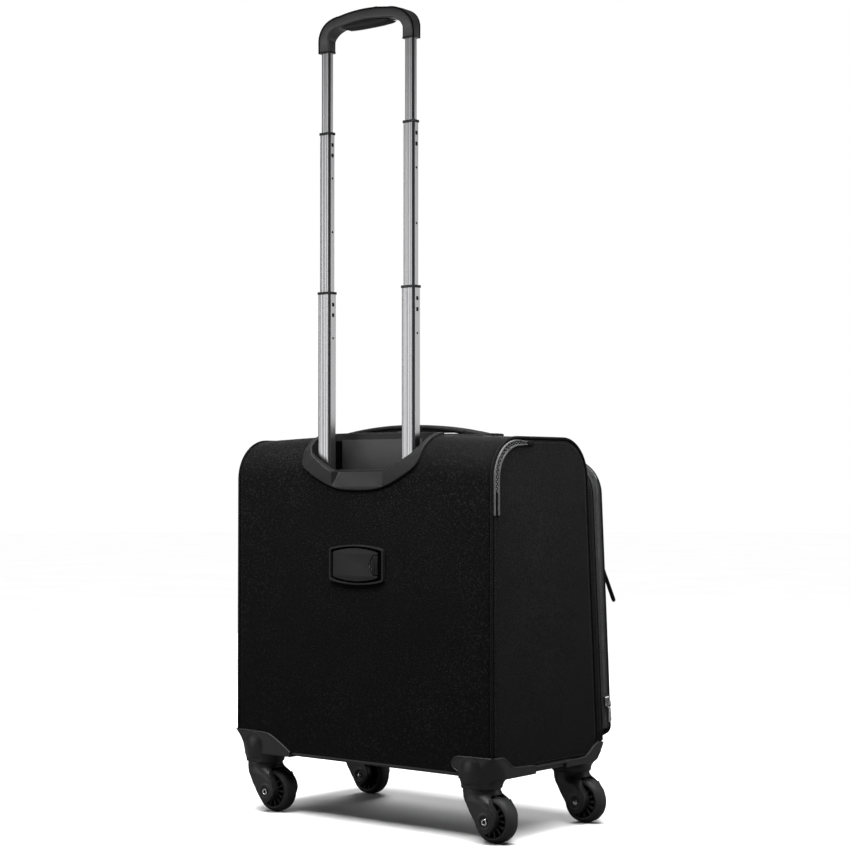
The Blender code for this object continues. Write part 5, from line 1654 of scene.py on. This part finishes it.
def fork_mesh():
    """A caster's fork about its stem: sleek arms down to the axle, which trails towards -X."""
    arm = spline([(0.0215, 0.0640), (0.0186, 0.0600), (0.0101, 0.0500), (0.0038, 0.0415),
                  (-0.0036, 0.0307), (-0.0096, 0.0220), (-0.0156, 0.0158), (-0.0232, 0.0130),
                  (-0.0318, 0.0192), (-0.0364, 0.0292), (-0.0340, 0.0385), (-0.0290, 0.0450),
                  (-0.0248, 0.0530), (-0.0232, 0.0640)], 5)
    fork = prism("fork", [arm], 0.0560, UPRIGHT)
    envelope = []
    levels = ((0.008, -0.0190, 0.034, 5.0), (0.030, -0.0190, 0.034, 5.0), (0.042, -0.0150, 0.031, 4.0),
              (0.050, -0.0070, 0.0275, 2.8), (0.057, -0.0012, 0.0236, 2.1), (0.061, 0.0, 0.0228, 2.0),
              (0.066, 0.0, 0.0228, 2.0))
    for z, middle, along, power in levels:
        across = 0.0238 if z < 0.052 else 0.0228
        ring = []
        for u, v in turned_about(72):
            reach = ((abs(u) / along) ** power + (abs(v) / across) ** power) ** (-1 / power)
            ring.append(Vector((middle + u * reach, v * reach, z)))
        envelope.append(ring)
    fork = within(fork, closed_loft("envelope", envelope))
    aside = Matrix.Rotation(-math.pi / 2, 4, "X")
    crown_part = cylinder("crown", (0, 0, 0.0561), 0.0066, 0.0222, 0.0225, 60)
    boss = cylinder("boss", (-TRAIL, -0.0244, WHEEL_R), 0.0488, 0.0098, turned=aside)
    fork = join(fork, crown_part, boss)
    room = cylinder("room", (-TRAIL, -0.0122, WHEEL_R), 0.0244, WHEEL_R + 0.0014, turned=aside)
    under = box("under", (-TRAIL - 0.04, -0.0121, -0.01), (-TRAIL + 0.0285, 0.0121, WHEEL_R + 0.0001))
    dishes = []
    for start in (0.0230, -0.0330):
        dishes.append(cylinder("dish", (-TRAIL, start, WHEEL_R), 0.010, 0.0066, turned=aside))
    fork = melted(cut(fork, room, under, *dishes), 0.0008)
    edge = [Vector((p[0] + 0.0010, 0.0229, p[1])) for p in arm if p[0] < -0.0225 and 0.019 < p[1] < 0.050]
    rims = [cord_mesh("rim", [Vector((p.x, sign * p.y, p.z)) for p in edge], 0.0008, sides=3)
            for sign in (1, -1)]
    return joined("fork", [fork, *rims])


def tyre_mesh():
    """A wheel's tyre with rounded shoulders, about the Z axis."""
    half, radius, seat = 0.0105, WHEEL_R, 0.0209
    profile = []
    for k in range(13):
        angle = math.pi * k / 12
        profile.append((radius - 0.0062 * (1 - math.sin(angle)) ** 1.4, half * math.cos(angle)))
    profile[0], profile[-1] = (radius - 0.0050, half), (radius - 0.0050, -half)
    return spun("tyre", [*profile, (seat, -half + 0.0004), (seat, half - 0.0004)], 96)


def hub_mesh():
    """A wheel's centre, as two meshes: the rim, web and boss, and the ribs that stand on the web."""
    half, rim, inner, boss = 0.0100, 0.0207, 0.0196, 0.0080
    profile = [(rim, half - 0.0006), (rim, -half + 0.0006), (rim - 0.0006, -half), (inner, -half + 0.0002),
               (inner - 0.0005, -0.0020), (boss, -0.0020), (boss - 0.0004, -half - 0.0006),
               (0.0036, -half - 0.0006)]
    profile += [(r, -z) for r, z in profile[:1:-1]]
    wedge = [(boss - 0.0006, -0.0007), (inner + 0.0004, -0.0012), (inner + 0.0004, 0.0012),
             (boss - 0.0006, 0.0007)]
    ribs = []
    for k in range(14):
        turn = Matrix.Rotation(2 * math.pi * k / 14, 4, "Z")
        for sign in (1, -1):
            rib = prism("rib", [wedge], half - 0.0024, None, sign * (half + 0.0002) / 2)
            rib = bevelled(rib, 0.0003, 2)
            rib.data.transform(turn)
            ribs.append(rib)
    return joined("hub", [spun("rim", profile, 96)]), joined("ribs", ribs)


def axle_mesh(domed):
    """The axle with its heads: open rivets at the rear, domed ones at the front."""
    reach = 0.0247 if domed else 0.0244
    if domed:
        end = [(NEAR_AXIS, reach + 0.0012), (0.0018, reach + 0.0009), (0.0032, reach - 0.0002),
               (0.0038, reach - 0.0016)]
    else:
        end = [(NEAR_AXIS, reach - 0.0016), (0.0018, reach - 0.0016), (0.0020, reach - 0.0002),
               (0.0024, reach + 0.0003), (0.0036, reach + 0.0003), (0.0042, reach - 0.0004),
               (0.0042, reach - 0.0014)]
    profile = [*end, (0.0028, reach - 0.0020), (0.0028, -reach + 0.0020)]
    profile += [(r, -z) for r, z in end[::-1]]
    return spun("axle", profile, 40)


def axle_pit_shadows(place):
    """Near-black plugs in the hollows of the two heads of an open rivet: painted shade."""
    hollow = [(NEAR_AXIS, 0.0002), (0.0021, 0.0002), (0.0021, -0.0010), (NEAR_AXIS, -0.0010)]
    pits = []
    for way in (1, -1):
        pit = spun("pit", hollow, 24)
        turn = Matrix.Rotation(-way * math.pi / 2, 4, "X")
        pit.data.transform(place @ Matrix.Translation((-TRAIL, way * 0.0229, WHEEL_R)) @ turn)
        pits.append(pit)
    return pits


def make_casters():
    """Corner guards, and under each its fork, axle and wheel."""
    make_housings()
    aside = Matrix.Translation((-TRAIL, 0, WHEEL_R)) @ Matrix.Rotation(math.pi / 2, 4, "X")
    fork, tyre = fork_mesh(), tyre_mesh()
    hub, ribs = hub_mesh()
    for turned_part in (tyre, hub, ribs):
        turned_part.data.transform(aside)
    for row, y in (("rear", REAR_CASTER_Y), ("front", FRONT_CASTER_Y)):
        axle = axle_mesh(row == "front")
        axle.data.transform(aside)
        for side, sign in SIDES:
            place = Matrix.Translation((sign * CASTER_X, y, 0))
            name = f"{row}_{side}"
            for source, kind, body, finish, slot in (
                (fork, "fork", "swivel", "fork", "moulded_plastic"),
                (axle, "axle", "swivel", "steel", "steel"),
                # The hub takes the near-black plastic: painted shade on the web between the ribs, and the
                # boss's own dark colour.
                (hub, "wheel", "roller", "dark", "moulded_plastic"),
                (tyre, "tyre", "roller", "tyre", "tyre_rubber"),
                (ribs, "ribs", "roller", "tyre", "moulded_plastic"),
            ):
                mesh = source.data.copy()
                mesh.transform(place)
                stands_for = [f"{name}_{kind}"] if kind != "ribs" else ()
                add_piece(link(f"caster_{kind}_{name}", mesh), f"{name}_{body}", finish, slot, stands_for,
                          60 if kind == "fork" else 35)
            # Near-black plugs in the rear rivets' hollows: painted shade.
            if row == "rear":
                pits = joined(f"caster_pit_shadows_{name}", axle_pit_shadows(place))
                add_piece(pits, f"{name}_swivel", "dark", "moulded_plastic")
        bpy.data.objects.remove(axle, do_unlink=True)
    for source in (fork, tyre, hub, ribs):
        bpy.data.objects.remove(source, do_unlink=True)


# ---------------------------------------------------------------- zip sliders
PIN_OUT = 0.0056


def slider_mesh(name, place):
    """Slider body on its zip: local Z along the zip, local Y away from the cloth."""
    outline = [(-0.0042, -0.0060, 0.002), (0.0042, -0.0060, 0.002), (0.0050, 0.0060, 0.002),
               (-0.0050, 0.0060, 0.002)]
    body = prism(name, [rounded(outline, step=15)], 0.0030, UPRIGHT, -0.0015)
    body = bevelled(body, 0.0007, 3)
    bridge = box("bridge", (-0.0013, 0.0022, -0.0040), (0.0013, PIN_OUT + 0.0016, 0.0040))
    bridge = bevelled(bridge, 0.0007, 3)
    eye = cylinder("eye", (-0.01, PIN_OUT - 0.0003, 0.0), 0.02, 0.0011, steps=16,
                   turned=Matrix.Rotation(math.pi / 2, 4, "Y"))
    made = joined(name, [body, cut(bridge, eye)])
    made.data.transform(place)
    return made


def pull_parts(place, length, moulded_tab):
    """A loop on the slider's pin and the tab that hangs from it, along local -Z."""
    path = [(0.0030, 0, 0.0), (0.0031, 0, -0.0050), (0.0020, 0, -0.0075), (0.0, 0, -0.0082),
            (-0.0020, 0, -0.0075), (-0.0031, 0, -0.0050), (-0.0030, 0, 0.0)]
    loop = cord_mesh("loop", spline(path, 4), 0.00065, closed=True, sides=3)
    if moulded_tab:
        half = [(-0.0022, -0.0060, 0.001), (-0.0026, -length + 0.004, 0.002), (-0.0018, -length, 0.0017)]
        thick = 0.0022
    else:
        half = [(-0.0022, -0.0068, 0.001), (-0.0036, -length + 0.003, 0.003), (-0.0026, -length, 0.002)]
        thick = 0.0016
    outline = rounded(half + [(-x, z, radius) for x, z, radius in half[::-1]], step=15)
    tab = bevelled(prism("tab", [outline], thick, UPRIGHT), thick * 0.32, 3)
    ridges = []
    for k in range(5):
        z = -length + 0.0060 + 0.0022 * k
        ridges.append(bevelled(box("ridge", (-0.0017, -thick / 2 - 0.0003, z - 0.0005),
                                   (0.0017, thick / 2 + 0.0003, z + 0.0005)), 0.0003, 2))
    tab = joined("tab", [tab, *ridges])
    for obj in (loop, tab):
        obj.data.transform(place)
    return loop, tab


def make_sliders():
    """The three zip sliders with their pulls."""
    main = FRONT @ Matrix.Translation((-LID_HALF_WIDTH - 0.0014, -0.02115, 0.047))
    main = main @ Matrix.Rotation(math.pi / 2, 4, "Z")
    pocket = FRONT @ Matrix.Translation((-0.1900, -0.0471, 0.2180)) @ Matrix.Rotation(math.pi, 4, "Z")
    top = Matrix.Translation((0, REAR_ZIP_Y, TOP_Z + 0.0042)) @ Matrix.Rotation(math.pi / 2, 4, "X")
    top = top @ Matrix.Rotation(math.pi / 2, 4, "Y")
    for name, place, length, swing, finish, moulded_tab, slot in (
        ("main", main, 0.026, 0, "chrome", False, "zip_metal"),
        ("pocket", pocket, 0.058, 27, "gunmetal", True, "dark_metal"),
        ("rear", top, 0.024, 4, "gunmetal", True, "dark_metal"),
    ):
        slider = slider_mesh(f"{name}_zip_slider", place)
        add_piece(slider, f"{name}_slider", finish, slot, [f"{name}_slider"])
        hang = place @ Matrix.Translation((0, PIN_OUT, 0)) @ Matrix.Rotation(math.radians(swing), 4, "X")
        loop, tab = pull_parts(hang, length, moulded_tab)
        loop.name, tab.name = f"{name}_zip_loop", f"{name}_zip_tab"
        add_piece(loop, f"{name}_pull", "chrome" if name != "rear" else finish, slot, [f"{name}_pull"])
        add_piece(tab, f"{name}_pull", "rubber" if moulded_tab else finish, slot)


# ---------------------------------------------------------------- interior
def make_interior():
    """The lining board at the back and the padded laptop divider."""
    refined("back_lining", "case", "lining", "lining", 0.0004)
    divider = refined("laptop_divider", "case", "lining", "lining", 0.0030, 4)
    low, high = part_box("laptop_divider")
    low, high = low - SHIFT, high - SHIFT
    inset = 0.012
    loop = [(low.x + inset, low.z + inset), (high.x - inset, low.z + inset),
            (high.x - inset, high.z - inset), (low.x + inset, high.z - inset)]
    seam = resampled([Vector(p) for p in [*loop, loop[0]]], 0.004)
    path = [Vector((p.x, low.y - 0.0001, p.y)) for p in seam]
    run = track(path, [Vector((0, -1, 0))] * len(path))
    add_piece(stitches("divider_stitches", run), "case", "thread", "lining")


# ---------------------------------------------------------------- stage, light and camera
def area_light(name, place, aim, size, power, glossy=True, diffuse=True):
    """A rectangular lamp turned to `aim`; the flags say whether gloss and matt surfaces see it."""
    data = bpy.data.lights.new(name, "AREA")
    data.shape = "RECTANGLE"
    data.size, data.size_y = size
    data.energy = power
    lamp = link(name, data)
    lamp.location = place
    lamp.visible_camera = False
    lamp.visible_glossy = glossy
    lamp.visible_diffuse = diffuse
    lamp.rotation_euler = (Vector(aim) - Vector(place)).to_track_quat("-Z", "Y").to_euler()


def seen_by_camera(tree, others, camera, output):
    """Gives `output` one shader for the camera's own rays and another for all other rays."""
    path = tree.nodes.new("ShaderNodeLightPath")
    either = tree.nodes.new("ShaderNodeMixShader")
    tree.links.new(path.outputs["Is Camera Ray"], either.inputs["Fac"])
    tree.links.new(others, either.inputs[1])
    tree.links.new(camera, either.inputs[2])
    tree.links.new(either.outputs["Shader"], tree.nodes[output].inputs["Surface"])


def make_stage():
    """White studio: a pale floor, an even world, a broad sun, softboxes and reflector cards."""
    scene = bpy.context.scene
    scene.view_settings.view_transform = "Standard"
    world = bpy.data.worlds.new("studio")
    world.use_nodes = True
    scene.world = world
    tree = world.node_tree
    background = tree.nodes["Background"]
    seen = tree.nodes.new("ShaderNodeBackground")
    seen.inputs["Color"].default_value = (1, 1, 1, 1)
    seen.inputs["Strength"].default_value = 1.0
    background.inputs["Color"].default_value = (1, 1, 1, 1)
    background.inputs["Strength"].default_value = 0.04
    seen_by_camera(tree, background.outputs["Background"], seen.outputs["Background"], "World Output")

    bm = bmesh.new()
    bmesh.ops.create_circle(bm, cap_ends=True, radius=14.0, segments=96)
    floor = from_bmesh("floor", bm)
    paint, tree, shader = new_material("pale_floor", (0.86, 0.86, 0.86), 0.9, specular=0.1)
    tree.links.new(mixed_colour(tree, noise_value(tree, 3, 2.0), (0.85, 0.85, 0.85), (0.87, 0.87, 0.87)),
                   shader.inputs["Base Color"])
    floor.data.materials.append(paint)
    shade = tree.nodes.new("ShaderNodeBsdfDiffuse")
    shade.inputs["Color"].default_value = (0.12, 0.12, 0.12, 1)
    seen_by_camera(tree, shade.outputs["BSDF"], shader.outputs["BSDF"], "Material Output")

    sun_data = bpy.data.lights.new("overhead", "SUN")
    sun_data.energy = 3.6
    sun_data.angle = math.radians(30)
    link("overhead", sun_data)
    area_light("key_softbox", (-0.50, 0.18, 0.81), (-0.17, 0.02, 0.40), (0.3, 0.5), 6.8, glossy=False)
    area_light("back_softbox", (0.0, 0.48, 0.87), (0.0, 0.08, 0.40), (0.7, 0.3), 10.5, glossy=False)
    area_light("front_softbox", (0.75, -1.15, 1.10), (0.0, -0.10, 0.30), (0.8, 0.8), 22, glossy=False)
    area_light("tube_card", (1.90, 2.40, 0.70), (0, 0.1, 0.70), (1.6, 1.8), 16.0)
    area_light("edge_card", (-1.90, -2.30, 0.70), (0, 0.1, 0.70), (1.2, 1.8), 8.5, diffuse=False)
    area_light("front_card", (2.30, -1.90, 0.80), (0, 0.0, 0.60), (1.6, 1.8), 12.0)


def make_camera():
    """The photo's camera, solved from the case's verticals, widths and circles."""
    yaw, pitch = math.radians(39.45), math.radians(1.63)
    forward = Vector((math.sin(yaw) * math.cos(pitch), -math.cos(yaw) * math.cos(pitch), math.sin(pitch)))
    right = forward.cross(Vector((0, 0, 1))).normalized()
    up = right.cross(forward)
    data = bpy.data.cameras.new("camera")
    data.sensor_width = 36.0
    data.lens = 82.9
    camera = link("camera", data)
    turn = Matrix((right, up, -forward)).transposed().to_4x4()
    place = Matrix.Translation((-1.610, 1.967, 0.4291))
    camera.matrix_world = place @ turn
    bpy.context.scene.camera = camera


make_camera()
make_stage()
make_shell()
make_tray()
make_band()
make_lid()
make_pockets()
make_rear_zip()
make_surround()
make_carry_strap()
make_tag()
make_handle()
make_casters()
make_sliders()
make_interior()
